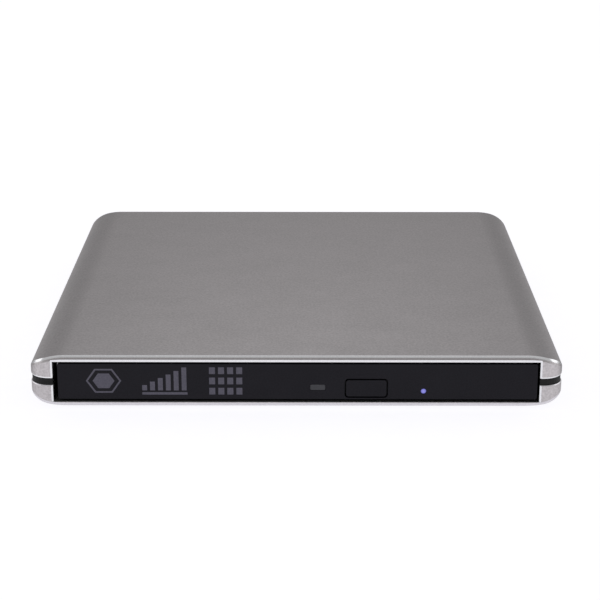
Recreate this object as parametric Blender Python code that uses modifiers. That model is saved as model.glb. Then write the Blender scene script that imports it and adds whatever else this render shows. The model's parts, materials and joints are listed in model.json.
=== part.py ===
"""External optical drive: an aluminium case in two shells round a slim tray-loading disc drive.

Frame: X to the right seen from the front, Y towards the back, Z up, origin on the table under the
middle of the case. The tray slides out towards -Y. Lengths are in metres.
"""

import math

import bmesh
import bpy
from mathutils import Vector

MM = 0.001

# Case: an extruded section with elliptical corners, cut to a rounded plan.
CASE_WIDTH = 142 * MM
CASE_DEPTH = 145 * MM
SHELL_HEIGHT = 14.3 * MM
FOOT_STAND = 1.0 * MM
CORNER_ACROSS = 10 * MM
TOP_CORNER_DOWN = 4.7 * MM
BOTTOM_CORNER_DOWN = 3.5 * MM
PLAN_RADIUS = 5.5 * MM
WALL = 1.6 * MM
ROOF = 1.5 * MM
FLOOR = 1.2 * MM
FRONT_WALL = 2.0 * MM
BAND_HEIGHT = 2.0 * MM
BAND_RECESS = 0.3 * MM
JOIN_GAP = 0.1 * MM

CASE_FRONT = -CASE_DEPTH / 2
CASE_BACK = CASE_DEPTH / 2
CASE_BOTTOM = FOOT_STAND
CASE_TOP = CASE_BOTTOM + SHELL_HEIGHT
BAND_LOW = CASE_BOTTOM + 5.95 * MM
BAND_HIGH = BAND_LOW + BAND_HEIGHT

# Opening in the case's front for the drive's bezel.
OPENING_HALF = 64.4 * MM
OPENING_LOW = CASE_BOTTOM + 1.35 * MM
OPENING_HIGH = OPENING_LOW + 11.1 * MM

# Slim drive: 128 mm wide, 9.5 mm high.
DRIVE_HALF = 64 * MM
DRIVE_FRONT = -67.3 * MM
DRIVE_BACK = 58.7 * MM
DRIVE_LOW = 3.2 * MM
DRIVE_HIGH = DRIVE_LOW + 9.5 * MM
SHEET = 0.6 * MM
BASE_TOP = DRIVE_LOW + SHEET

# Telescopic rails: each rail runs in a guide on the base and in a groove in the tray's side.
RAIL_LOW = 4.7 * MM
RAIL_HIGH = 7.3 * MM
RAIL_INNER = 59.0 * MM
RAIL_OUTER = 62.6 * MM
RAIL_SHEET = 0.6 * MM
GROOVE_LOW = RAIL_LOW - 0.25 * MM
GROOVE_HIGH = RAIL_HIGH + 0.25 * MM

# Tray, with the disc's axis at the hub.
HUB = Vector((0, -4.8 * MM, 0))
TRAY_HALF = 62.8 * MM
TRAY_FRONT = -67.3 * MM
TRAY_BACK = 57.2 * MM
TRAY_BODY_HALF = 61.0 * MM
TRAY_SIDE_WALL = 1.5 * MM
DECK_LOW = 7.9 * MM
DECK_HIGH = 9.1 * MM
RIM_HIGH = 10.4 * MM
RIM_LOW = 8.3 * MM
DISC_RECESS = 60.8 * MM
SMALL_DISC_RECESS = 41.0 * MM
SMALL_DISC_STEP = 0.3 * MM
DISC_PLANE = 9.8 * MM

# Bezel on the tray's front, with its button, window and light.
BEZEL_SPAN = (-63.3 * MM, 63.95 * MM)
BEZEL_FRONT = CASE_FRONT + 0.4 * MM
BEZEL_BACK = -67.6 * MM
BEZEL_LOW = OPENING_LOW + 0.6 * MM
BEZEL_HIGH = OPENING_HIGH - 0.6 * MM
BEZEL_FACE = 1.6 * MM
BEZEL_RIM = 0.8 * MM
BUTTON_CENTRE = Vector((18.6 * MM, 0, 6.05 * MM))
BUTTON_SIZE = Vector((10.7 * MM, 0, 4.6 * MM))
BUTTON_GAP = 0.4 * MM
WINDOW_CENTRE = Vector((5.7 * MM, 0, 6.3 * MM))
WINDOW_SIZE = Vector((4.0 * MM, 0, 1.6 * MM))
LIGHT_CENTRE = Vector((33.8 * MM, 0, 5.2 * MM))
LIGHT_RADIUS = 0.7 * MM

# Sled mechanism: u runs from the hub along the sled's travel, v across it.
TRAVEL_ANGLE = math.radians(225)
FRAME_LOW = 4.65 * MM
FRAME_HIGH = 7.9 * MM
COVER_LOW = 8.7 * MM
FRAME_END = 67.6 * MM
FRAME_NEAR_V = -13.4 * MM
FRAME_FAR_V = 17.4 * MM
MOTOR_BAY = 13.0 * MM
SLED_HOME = 23.0 * MM
SLED_HALF = 8.5 * MM
SLED_LOW = 4.8 * MM
SLED_HIGH = 8.1 * MM
ROD_HEIGHT = 6.2 * MM
MAIN_ROD_V = 9.0 * MM
MAIN_ROD_RADIUS = 1.0 * MM
SUB_ROD_V = -10.4 * MM
SUB_ROD_RADIUS = 0.8 * MM
SCREW_V = 13.9 * MM
SCREW_RADIUS = 1.2 * MM
SCREW_PITCH = 3.0 * MM
DAMPERS = {
    "inner": (-21.0 * MM, 0.0),
    "left": (34.0 * MM, -18.0 * MM),
    "right": (34.0 * MM, 22.0 * MM),
}

# Latch and ejector under the tray.
LATCH_PIVOT = Vector((40 * MM, -61 * MM, 0))
PIVOT_RADIUS = 0.9 * MM
PLUNGER = Vector((52 * MM, 0, 6.2 * MM))

# Rear electronics.
BOARD_LOW = 4.6 * MM
BOARD_THICK = 1.0 * MM
USB_X = 12 * MM
DC_X = 30 * MM
DC_HEIGHT = 8.45 * MM
PORT_PANEL = ((3.8 * MM, 34.8 * MM), (3.9 * MM, 12.0 * MM))
SATA_X = -20 * MM
CASE_SCREW = Vector((58 * MM, 65.2 * MM, 0))
COVER_SCREW = Vector((DRIVE_HALF, 30 * MM, 11.2 * MM))

for old in list(bpy.data.objects):
    bpy.data.objects.remove(old, do_unlink=True)

PARTS = bpy.data.collections.new("optical_drive")
TOOLS = bpy.data.collections.new("cutters")
bpy.context.scene.collection.children.link(PARTS)
bpy.context.scene.collection.children.link(TOOLS)


def material(name, colour, roughness, metallic=0.0):
    made = bpy.data.materials.new(name)
    made.use_nodes = True
    shader = made.node_tree.nodes["Principled BSDF"]
    shader.inputs["Base Color"].default_value = (*colour, 1)
    shader.inputs["Roughness"].default_value = roughness
    shader.inputs["Metallic"].default_value = metallic
    made.diffuse_color = (*colour, 1)
    return made


ALUMINIUM = material("blasted_aluminium", (0.55, 0.54, 0.54), 0.4, 1.0)
STEEL = material("sheet_steel", (0.62, 0.62, 0.63), 0.35, 1.0)
BRIGHT_STEEL = material("ground_steel", (0.75, 0.75, 0.76), 0.15, 1.0)
ZINC = material("die_cast_zinc", (0.45, 0.45, 0.46), 0.5, 1.0)
BLACK_PLASTIC = material("black_plastic", (0.02, 0.02, 0.022), 0.45)
TRAY_PLASTIC = material("tray_plastic", (0.025, 0.025, 0.027), 0.5)
PALE_PLASTIC = material("pale_plastic", (0.75, 0.74, 0.7), 0.5)
RUBBER = material("rubber", (0.03, 0.03, 0.03), 0.8)
CIRCUIT_BOARD = material("circuit_board", (0.02, 0.16, 0.07), 0.4)
CONNECTOR_BLACK = material("connector_black", (0.015, 0.015, 0.015), 0.5)
COPPER = material("wound_copper", (0.7, 0.33, 0.15), 0.35, 1.0)
LIGHT_GUIDE = material("light_guide", (0.5, 0.5, 0.52), 0.3)
BLUE_LAMP = material("blue_lamp", (0.25, 0.3, 1.0), 0.2)
LENS_GLASS = material("lens_glass", (0.35, 0.3, 0.55), 0.05)
RIBBON = material("ribbon", (0.8, 0.78, 0.72), 0.4)


# ---------------------------------------------------------------- shapes


def add_object(name, mesh, look, parent=None):
    made = bpy.data.objects.new(name, mesh)
    mesh.name = name
    mesh.materials.clear()
    mesh.materials.append(look)
    PARTS.objects.link(made)
    made.parent = parent
    return made


def block(name, x, y, z, look, parent=None):
    """A box between the low and high value on each axis."""
    shape = bmesh.new()
    bmesh.ops.create_cube(shape, size=1)
    size = Vector((x[1] - x[0], y[1] - y[0], z[1] - z[0]))
    bmesh.ops.scale(shape, vec=size, verts=shape.verts)
    mesh = bpy.data.meshes.new(name)
    shape.to_mesh(mesh)
    shape.free()
    made = add_object(name, mesh, look, parent)
    made.location = ((x[0] + x[1]) / 2, (y[0] + y[1]) / 2, (z[0] + z[1]) / 2)
    return made


def rod(name, radius, start, end, look, parent=None, segments=24):
    """A cylinder from one point to another."""
    start, end = Vector(start), Vector(end)
    shape = bmesh.new()
    bmesh.ops.create_cone(
        shape,
        cap_ends=True,
        segments=segments,
        radius1=radius,
        radius2=radius,
        depth=(end - start).length,
    )
    mesh = bpy.data.meshes.new(name)
    shape.to_mesh(mesh)
    shape.free()
    mesh.shade_smooth()
    mesh.set_sharp_from_angle(angle=math.radians(40))
    made = add_object(name, mesh, look, parent)
    made.location = (start + end) / 2
    made.rotation_euler = (end - start).to_track_quat("Z", "Y").to_euler()
    return made


def turned(name, profile, centre, look, parent=None, steps=32):
    """A profile of (radius, height) points, given top to bottom, spun about a vertical axis."""
    mesh = bpy.data.meshes.new(name)
    points = [(radius, 0, height) for radius, height in profile]
    edges = [(i, i + 1) for i in range(len(points) - 1)]
    if profile[0][0] > 0:
        edges.append((len(points) - 1, 0))
    mesh.from_pydata(points, edges, [])
    made = add_object(name, mesh, look, parent)
    made.location = centre
    spin = made.modifiers.new("spin", "SCREW")
    spin.steps = spin.render_steps = steps
    spin.use_merge_vertices = True
    spin.merge_threshold = 0.00001
    spin.use_smooth_shade = False
    return made


def plate(name, outlines, span, look, parent=None, along="Z"):
    """Flat outlines, the first one the edge and the others holes, given thickness along an axis.

    The outlines hold (x, y) points for Z, (x, z) points for Y and (y, z) points for X.
    """
    curve = bpy.data.curves.new(name, "CURVE")
    curve.dimensions = "2D"
    curve.fill_mode = "BOTH"
    curve.extrude = (span[1] - span[0]) / 2
    for outline in outlines:
        spline = curve.splines.new("POLY")
        spline.points.add(len(outline) - 1)
        for point, (a, b) in zip(spline.points, outline):
            point.co = (a, b, 0, 1)
        spline.use_cyclic_u = True
    drawn = bpy.data.objects.new(name, curve)
    bpy.context.scene.collection.objects.link(drawn)
    bpy.context.view_layer.update()
    graph = bpy.context.evaluated_depsgraph_get()
    mesh = bpy.data.meshes.new_from_object(drawn.evaluated_get(graph))
    shape = bmesh.new()
    shape.from_mesh(mesh)
    bmesh.ops.remove_doubles(shape, verts=shape.verts, dist=0.000001)
    bmesh.ops.recalc_face_normals(shape, faces=shape.faces)
    shape.to_mesh(mesh)
    shape.free()
    bpy.data.objects.remove(drawn)
    made = add_object(name, mesh, look, parent)
    middle = (span[0] + span[1]) / 2
    quarter = math.pi / 2
    if along == "Z":
        made.location = (0, 0, middle)
    elif along == "Y":
        made.location = (0, middle, 0)
        made.rotation_euler = (quarter, 0, 0)
    else:
        made.location = (middle, 0, 0)
        made.rotation_euler = (quarter, 0, quarter)
    return made


def arc(centre, radii, start, end, steps):
    """Points on an ellipse's arc, angles in degrees, both ends included."""
    points = []
    for i in range(steps + 1):
        angle = math.radians(start + (end - start) * i / steps)
        points.append(
            (centre[0] + radii[0] * math.cos(angle), centre[1] + radii[1] * math.sin(angle))
        )
    return points


def circle(centre, radius, steps=32):
    return arc(centre, (radius, radius), 0, 360 - 360 / steps, steps - 1)


def rectangle(x, y):
    return [(x[0], y[0]), (x[1], y[0]), (x[1], y[1]), (x[0], y[1])]


def rounded_rectangle(x, y, across, up=None, steps=5):
    """A rectangle whose corners are quarter ellipses, anticlockwise from the lower right."""
    up = across if up is None else up
    points = []
    corners = ((x[1] - across, y[0] + up, -90), (x[1] - across, y[1] - up, 0),
               (x[0] + across, y[1] - up, 90), (x[0] + across, y[0] + up, 180))
    for cx, cy, start in corners:
        points += arc((cx, cy), (across, up), start, start + 90, steps)
    return points


def use_as_tool(made):
    if made.name in PARTS.objects:
        PARTS.objects.unlink(made)
        TOOLS.objects.link(made)
    made.hide_render = True
    made.display_type = "WIRE"


def combine(target, operation, tools):
    for tool in tools:
        use_as_tool(tool)
        step = target.modifiers.new(operation.lower(), "BOOLEAN")
        step.operation = operation
        step.object = tool
    return target


def cut(target, *tools):
    return combine(target, "DIFFERENCE", tools)


def join(target, *pieces):
    return combine(target, "UNION", pieces)


def keep_inside(target, *limits):
    return combine(target, "INTERSECT", limits)


def screw(name, head_radius, head_height, shank_radius, shank_length, top, look, parent=None):
    """A screw standing head up at top, with a cross recess in its head. Returns the object."""
    head_low = -head_height
    made = turned(
        name,
        [
            (0, 0),
            (head_radius * 0.8, 0),
            (head_radius, -0.3 * head_height),
            (head_radius, head_low),
            (shank_radius, head_low),
            (shank_radius, head_low - shank_length),
            (0, head_low - shank_length),
        ],
        top,
        look,
        parent,
        steps=12,
    )
    arm, width = head_radius * 0.55, head_radius * 0.16
    for turn in (0, math.pi / 2):
        slot = block(
            name + "_slot", (-arm, arm), (-width, width), (-head_height * 0.6, head_height), look, made
        )
        slot.rotation_euler = (0, 0, turn)
        cut(made, slot)
    return made


# ---------------------------------------------------------------- case


def case_solid(name, corner_down, inset, front_inset, low, high, look):
    """The case's outer form, or one held inset from it, between two heights."""
    half = CASE_WIDTH / 2 - inset
    roof = ROOF if inset else 0
    floor = FLOOR if inset else 0
    section = rounded_rectangle(
        (-half, half),
        (CASE_BOTTOM + floor, CASE_TOP - roof),
        CORNER_ACROSS - inset,
        corner_down - roof,
        steps=10,
    )
    solid = plate(name, [section], (CASE_FRONT - MM, CASE_BACK + MM), look, along="Y")
    plan = rounded_rectangle(
        (-half, half), (CASE_FRONT + front_inset, CASE_BACK - inset), PLAN_RADIUS - inset, steps=8
    )
    return keep_inside(solid, plate(name + "_plan", [plan], (low, high), look))


def front_opening():
    return block(
        "front_opening",
        (-OPENING_HALF, OPENING_HALF),
        (CASE_FRONT - MM, CASE_FRONT + FRONT_WALL + MM),
        (OPENING_LOW, OPENING_HIGH),
        ALUMINIUM,
    )


def port_panel(name, grow, span, look):
    """The panel that carries the ports, or with grow its opening in the back wall."""
    x, z = PORT_PANEL
    edge = rounded_rectangle((x[0] - grow, x[1] + grow), (z[0] - grow, z[1] + grow), 1.2 * MM, steps=4)
    return plate(name, [edge], span, look, along="Y")


def panel_opening():
    return port_panel("panel_opening", JOIN_GAP, (CASE_BACK - 2.6 * MM, CASE_BACK + MM), ALUMINIUM)


def make_top_shell():
    shell = case_solid("top_shell", TOP_CORNER_DOWN, 0, 0, BAND_HIGH, CASE_TOP + MM, ALUMINIUM)
    hollow = case_solid(
        "top_hollow", TOP_CORNER_DOWN, WALL, FRONT_WALL, BAND_HIGH - MM, CASE_TOP, ALUMINIUM
    )
    cut(shell, hollow, front_opening())
    for side in (-1, 1):
        x, y = side * CASE_SCREW.x, CASE_SCREW.y
        boss = rod("boss", 2.2 * MM, (x, y, BAND_HIGH + 0.3 * MM), (x, y, CASE_TOP - 1 * MM), ALUMINIUM)
        bore = rod("bore", 0.95 * MM, (x, y, BAND_HIGH - MM), (x, y, CASE_TOP - 2.5 * MM), ALUMINIUM)
        join(shell, boss)
        cut(shell, bore)
    cut(shell, panel_opening())
    return shell


def make_bottom_shell():
    shell = case_solid("bottom_shell", BOTTOM_CORNER_DOWN, 0, 0, CASE_BOTTOM - MM, BAND_LOW, ALUMINIUM)
    hollow = case_solid(
        "bottom_hollow", BOTTOM_CORNER_DOWN, WALL, FRONT_WALL, CASE_BOTTOM, BAND_LOW + MM, ALUMINIUM
    )
    cut(shell, hollow, front_opening())
    for side in (-1, 1):
        x, y = side * CASE_SCREW.x, CASE_SCREW.y
        boss = rod("boss", 2.8 * MM, (x, y, CASE_BOTTOM + 0.5 * MM), (x, y, BAND_LOW - 0.3 * MM), ALUMINIUM)
        head = rod("head_recess", 2.1 * MM, (x, y, 0), (x, y, CASE_BOTTOM + 1.4 * MM), ALUMINIUM)
        bore = rod("bore", 1.1 * MM, (x, y, 0), (x, y, BAND_LOW + MM), ALUMINIUM)
        join(shell, boss)
        cut(shell, head, bore)
        post = block(
            "board_post",
            (side * 28 * MM - 2 * MM, side * 28 * MM + 2 * MM),
            (67 * MM, CASE_BACK - 1 * MM),
            (CASE_BOTTOM + 0.5 * MM, BOARD_LOW - JOIN_GAP),
            ALUMINIUM,
        )
        join(shell, post)
    for x, y in foot_places().values():
        seat = rod("foot_seat", 5.2 * MM, (x, y, 0), (x, y, CASE_BOTTOM + 0.4 * MM), ALUMINIUM)
        cut(shell, seat)
    cut(shell, panel_opening())
    return shell


def make_mid_frame():
    """The plastic band between the shells, with walls inside it that hold the drive."""
    low, high = BAND_LOW + JOIN_GAP, BAND_HIGH - JOIN_GAP
    half = CASE_WIDTH / 2 - BAND_RECESS
    plan = rounded_rectangle(
        (-half, half),
        (CASE_FRONT + BAND_RECESS, CASE_BACK - BAND_RECESS),
        PLAN_RADIUS - BAND_RECESS,
        steps=8,
    )
    frame = plate("mid_frame", [plan], (low, high), BLACK_PLASTIC)
    inner = OPENING_HALF + 0.2 * MM
    back = CASE_BACK - 2.4 * MM
    bay = block("bay", (-inner, inner), (CASE_FRONT - MM, back), (low - MM, high + MM), BLACK_PLASTIC)
    cut(frame, bay)
    for side in (-1, 1):
        x = sorted((side * inner, side * (inner + 1.0 * MM)))
        wall = block(
            "side_wall",
            x,
            (CASE_FRONT + FRONT_WALL + 0.3 * MM, DRIVE_BACK),
            (DRIVE_LOW + 0.2 * MM, DRIVE_HIGH - 0.2 * MM),
            BLACK_PLASTIC,
        )
        lug = block(
            "screw_lug",
            sorted((side * (CASE_SCREW.x - 3 * MM), side * (inner + 1 * MM))),
            (CASE_SCREW.y - 3 * MM, back + 0.5 * MM),
            (low, high),
            BLACK_PLASTIC,
        )
        bore = rod(
            "bore",
            1.1 * MM,
            (side * CASE_SCREW.x, CASE_SCREW.y, low - MM),
            (side * CASE_SCREW.x, CASE_SCREW.y, high + MM),
            BLACK_PLASTIC,
        )
        join(frame, wall, lug)
        cut(frame, bore)
    panel_depth = (CASE_BACK - 1.9 * MM, CASE_BACK - BAND_RECESS - 0.1 * MM)
    join(frame, port_panel("panel", 0, panel_depth, BLACK_PLASTIC))
    reach = (CASE_BACK - 3 * MM, CASE_BACK + MM)
    usb = rounded_rectangle((USB_X - 6.5 * MM, USB_X + 6.5 * MM), (5.35 * MM, 8.95 * MM), 0.8 * MM)
    inner, outer = (DC_X, reach[0], DC_HEIGHT), (DC_X, reach[1], DC_HEIGHT)
    jack = rod("jack_hole", 3.0 * MM, inner, outer, BLACK_PLASTIC)
    cut(frame, plate("usb_hole", [usb], reach, BLACK_PLASTIC, along="Y"), jack)
    return frame


def foot_places():
    return {
        "front_left": (-56 * MM, -58 * MM),
        "front_right": (56 * MM, -58 * MM),
        "rear_left": (-56 * MM, 52 * MM),
        "rear_right": (56 * MM, 52 * MM),
    }


def make_feet():
    for place, (x, y) in foot_places().items():
        turned(
            "foot_" + place,
            [
                (0, CASE_BOTTOM + 0.35 * MM),
                (5.0 * MM, CASE_BOTTOM + 0.35 * MM),
                (5.0 * MM, 0.4 * MM),
                (4.85 * MM, 0.12 * MM),
                (4.5 * MM, 0),
                (0, 0),
            ],
            (x, y, 0),
            RUBBER,
            steps=32,
        )


def make_case_screws():
    for side, name in ((-1, "left"), (1, "right")):
        made = screw(
            "case_screw_" + name,
            1.8 * MM,
            1.0 * MM,
            0.8 * MM,
            9.6 * MM,
            (side * CASE_SCREW.x, CASE_SCREW.y, CASE_BOTTOM + 0.35 * MM),
            STEEL,
        )
        made.rotation_euler = (math.pi, 0, 0)


# ---------------------------------------------------------------- rear electronics


def make_bridge_board():
    """The USB-to-drive adapter board, with its chip and small parts, behind the drive."""
    top = BOARD_LOW + BOARD_THICK
    outline = rounded_rectangle((-46 * MM, 40 * MM), (60.0 * MM, 70.4 * MM), 0.6 * MM, steps=2)
    board = plate("bridge_board", [outline], (BOARD_LOW, top), CIRCUIT_BOARD)
    chip_x, chip_y = -6 * MM, 66.4 * MM
    parts = [((chip_x + 3 * MM, chip_x + 9 * MM), (63.2 * MM, 69.2 * MM), 0.9 * MM)]
    parts += [((-44 * MM + i * 2.6 * MM, -42.7 * MM + i * 2.6 * MM), (chip_y, chip_y + 0.8 * MM), 0.6 * MM)
              for i in range(8)]
    parts.append(((-20 * MM, -9 * MM), (65 * MM, 69 * MM), 2.4 * MM))
    for x, y, tall in parts:
        join(board, block("component", x, y, (top - 0.2 * MM, top + tall), CIRCUIT_BOARD))
    return board


def make_ports():
    top = BOARD_LOW + BOARD_THICK + 0.05 * MM
    outer = rounded_rectangle((USB_X - 6.2 * MM, USB_X + 6.2 * MM), (top, top + 3.0 * MM), 0.6 * MM)
    port = plate("usb_port", [outer], (62.5 * MM, CASE_BACK - 0.2 * MM), STEEL, along="Y")
    for x, z in (((-5.8, 1.2), (0.35, 2.65)), ((1.7, 5.8), (0.35, 2.65))):
        mouth = rounded_rectangle(
            (USB_X + x[0] * MM, USB_X + x[1] * MM), (top + z[0] * MM, top + z[1] * MM), 0.4 * MM, steps=2
        )
        cut(port, plate("mouth", [mouth], (66 * MM, CASE_BACK + MM), STEEL, along="Y"))
        tongue = block(
            "tongue",
            (USB_X + (x[0] + 0.9) * MM, USB_X + (x[1] - 0.9) * MM),
            (65 * MM, CASE_BACK - 1.2 * MM),
            (top + 1.2 * MM, top + 1.8 * MM),
            STEEL,
        )
        join(port, tongue)

    jack = block(
        "dc_jack", (DC_X - 3.4 * MM, DC_X + 3.4 * MM), (61 * MM, 69.9 * MM), (top, 11.1 * MM), CONNECTOR_BLACK
    )
    axis = DC_HEIGHT
    barrel = rod("barrel", 2.75 * MM, (DC_X, 69 * MM, axis), (DC_X, CASE_BACK - 0.3 * MM, axis), STEEL)
    bore = rod("bore", 1.9 * MM, (DC_X, 63 * MM, axis), (DC_X, CASE_BACK + MM, axis), STEEL)
    pin = rod("pin", 0.6 * MM, (DC_X, 62 * MM, axis), (DC_X, CASE_BACK - 1.2 * MM, axis), STEEL, segments=12)
    join(jack, barrel)
    cut(jack, bore)
    join(jack, pin)


def make_sata_pair():
    """The drive's power-and-data socket, and the adapter board's plug with its tongue in it."""
    top = BOARD_LOW + BOARD_THICK + 0.05 * MM
    wide = 17 * MM
    plug = block(
        "sata_plug", (SATA_X - wide, SATA_X + wide), (59.1 * MM, 62.6 * MM), (top, 9.2 * MM), CONNECTOR_BLACK
    )
    tongue = block(
        "tongue",
        (SATA_X - wide + 2 * MM, SATA_X + wide - 2 * MM),
        (56.4 * MM, 59.5 * MM),
        (6.6 * MM, 7.6 * MM),
        CONNECTOR_BLACK,
    )
    join(plug, tongue)
    socket = block(
        "sata_socket",
        (SATA_X - wide, SATA_X + wide),
        (54.6 * MM, 58.6 * MM),
        (5.3 * MM, 7.8 * MM),
        CONNECTOR_BLACK,
    )
    slot = block(
        "slot",
        (SATA_X - wide + 1.7 * MM, SATA_X + wide - 1.7 * MM),
        (56 * MM, 60 * MM),
        (6.3 * MM, 9 * MM),
        CONNECTOR_BLACK,
    )
    cut(socket, slot)


# ---------------------------------------------------------------- drive chassis


def make_drive_base():
    """The drive's steel pan: floor, two sides and back, with the latch's post on the floor."""
    half = DRIVE_HALF
    pan = block("drive_base", (-half, half), (DRIVE_FRONT, DRIVE_BACK), (DRIVE_LOW, 11.9 * MM), STEEL)
    inside = block(
        "inside",
        (-half + SHEET, half - SHEET),
        (DRIVE_FRONT - MM, DRIVE_BACK - SHEET),
        (BASE_TOP, DRIVE_HIGH + MM),
        STEEL,
    )
    notch = block(
        "socket_notch",
        (SATA_X - 18.5 * MM, SATA_X + 18.5 * MM),
        (DRIVE_BACK - 2 * MM, DRIVE_BACK + MM),
        (BASE_TOP + 0.4 * MM, DRIVE_HIGH),
        STEEL,
    )
    cut(pan, inside, notch)
    post = LATCH_PIVOT + Vector((4 * MM, 11 * MM, 0))
    join(pan, rod("post", 1.2 * MM, (post.x, post.y, 3.5 * MM), (post.x, post.y, 6.4 * MM), STEEL))
    for side in (-1, 1):
        cut(pan, cover_screw_hole(side, 0.8 * MM))
    return pan


def cover_screw_hole(side, radius):
    y, z = COVER_SCREW.y, COVER_SCREW.z
    return rod("hole", radius, (side * 61 * MM, y, z), (side * 66 * MM, y, z), STEEL)


def make_drive_cover():
    """The drive's steel lid, with a lip down each side."""
    half = DRIVE_HALF - JOIN_GAP
    low = 12.1 * MM
    front, back = DRIVE_FRONT + 0.3 * MM, DRIVE_BACK - JOIN_GAP
    lid = block("drive_cover", (-half, half), (front, back), (low, low + 0.5 * MM), STEEL)
    for side in (-1, 1):
        x = sorted((side * (DRIVE_HALF - SHEET - 0.15 * MM), side * (DRIVE_HALF - SHEET - 0.55 * MM)))
        join(lid, block("lip", x, (front + 8 * MM, back - 4 * MM), (10.7 * MM, low + 0.2 * MM), STEEL))
        cut(lid, cover_screw_hole(side, 0.55 * MM))
    return lid


def make_cover_screws():
    for side, name in ((-1, "left"), (1, "right")):
        made = screw(
            "cover_screw_" + name,
            1.3 * MM,
            0.35 * MM,
            0.45 * MM,
            1.0 * MM,
            (side * (DRIVE_HALF + 0.42 * MM), COVER_SCREW.y, COVER_SCREW.z),
            STEEL,
        )
        made.rotation_euler = (0, side * math.pi / 2, 0)


def make_guides_and_rails():
    """Plastic guides fixed to the pan, and the steel rails that slide in them."""
    for side, name in ((-1, "left"), (1, "right")):
        web, tip = side * 62.85 * MM, side * 61.3 * MM
        outer = side * (DRIVE_HALF - SHEET - JOIN_GAP)
        low, high = BASE_TOP + JOIN_GAP, 8.1 * MM
        section = [
            (outer, low),
            (outer, high),
            (tip, high),
            (tip, GROOVE_HIGH),
            (web, GROOVE_HIGH),
            (web, GROOVE_LOW),
            (tip, GROOVE_LOW),
            (tip, low),
        ]
        span = (DRIVE_FRONT + 0.6 * MM, DRIVE_BACK - 1.6 * MM)
        plate("guide_" + name, [section], span, PALE_PLASTIC, along="Y")
        inner, outside = RAIL_INNER, RAIL_OUTER
        middle = (RAIL_LOW + RAIL_HIGH) / 2
        half_web = RAIL_SHEET / 2
        section = [
            (inner, RAIL_LOW),
            (inner + RAIL_SHEET, RAIL_LOW),
            (inner + RAIL_SHEET, middle - half_web),
            (outside - RAIL_SHEET, middle - half_web),
            (outside - RAIL_SHEET, RAIL_LOW),
            (outside, RAIL_LOW),
            (outside, RAIL_HIGH),
            (outside - RAIL_SHEET, RAIL_HIGH),
            (outside - RAIL_SHEET, middle + half_web),
            (inner + RAIL_SHEET, middle + half_web),
            (inner + RAIL_SHEET, RAIL_HIGH),
            (inner, RAIL_HIGH),
        ]
        section = [(side * x, z) for x, z in section]
        plate("rail_" + name, [section], (-66 * MM, 54 * MM), BRIGHT_STEEL, along="Y")


def make_main_board():
    low, high = 4.3 * MM, 5.1 * MM
    outline = rounded_rectangle((-56 * MM, 38 * MM), (26 * MM, 57.6 * MM), 1 * MM, steps=2)
    board = plate("main_board", [outline], (low, high), CIRCUIT_BOARD)
    chips = [
        ((-12 * MM, 2 * MM), (32 * MM, 46 * MM), 1.0 * MM),
        ((-34 * MM, -26 * MM), (36 * MM, 44 * MM), 0.9 * MM),
        ((12 * MM, 18 * MM), (38 * MM, 44 * MM), 0.9 * MM),
        ((26 * MM, 38 * MM), (26.5 * MM, 30 * MM), 1.2 * MM),
    ]
    for x, y, tall in chips:
        join(board, block("chip", x, y, (high - 0.2 * MM, high + tall), CIRCUIT_BOARD))
    for x in (-52 * MM, 22 * MM):
        foot, head = (x, 50 * MM, BASE_TOP + JOIN_GAP), (x, 50 * MM, low + 0.2 * MM)
        join(board, rod("standoff", 2 * MM, foot, head, CIRCUIT_BOARD, segments=16))
    return board


def make_ribbon():
    """The flat cable, laid in a U: a low run on the pan, a fold, and a high run under the tray."""
    low, high, thick = BASE_TOP + 0.15 * MM, 7.5 * MM, 0.2 * MM
    back, fold, tray_end = 25.6 * MM, -43 * MM, 24 * MM
    radius = (high - low) / 2
    centre = (fold, (low + high) / 2)
    outside = arc(centre, (radius, radius), -90, -270, 12)
    inside = arc(centre, (radius - thick, radius - thick), -270, -90, 12)
    section = [(back, low)] + outside + [(tray_end, high), (tray_end, high - thick)] + inside
    section.append((back, low + thick))
    return plate("ribbon_cable", [section], (27 * MM, 39 * MM), RIBBON, along="X")


# ---------------------------------------------------------------- tray


def mechanism_frame():
    """An empty at the hub whose x runs along the sled's travel."""
    anchor = bpy.data.objects.new("mechanism", None)
    anchor.location = HUB
    anchor.rotation_euler = (0, 0, TRAVEL_ANGLE)
    PARTS.objects.link(anchor)
    return anchor


def frame_outline(grow=0.0):
    """The sled frame's edge in (u, v): wide at the motor and narrow along the sled."""
    wide, near, far = -17 * MM - grow, FRAME_NEAR_V - grow, FRAME_FAR_V + grow
    return [
        (-17 * MM - grow, wide),
        (13 * MM, wide),
        (17 * MM, near),
        (FRAME_END + grow, near),
        (FRAME_END + grow, far),
        (-17 * MM - grow, far),
    ]


def window_outline(radius, grow=0.0):
    """The frame's edge in (u, v), ending in an arc of the disc recess."""
    near, far = FRAME_NEAR_V - grow, FRAME_FAR_V + grow
    start = math.degrees(math.asin(near / radius))
    end = math.degrees(math.asin(far / radius))
    edge = frame_outline(grow)
    return edge[:3] + arc((0, 0), (radius, radius), start, end, 12) + edge[5:]


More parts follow.
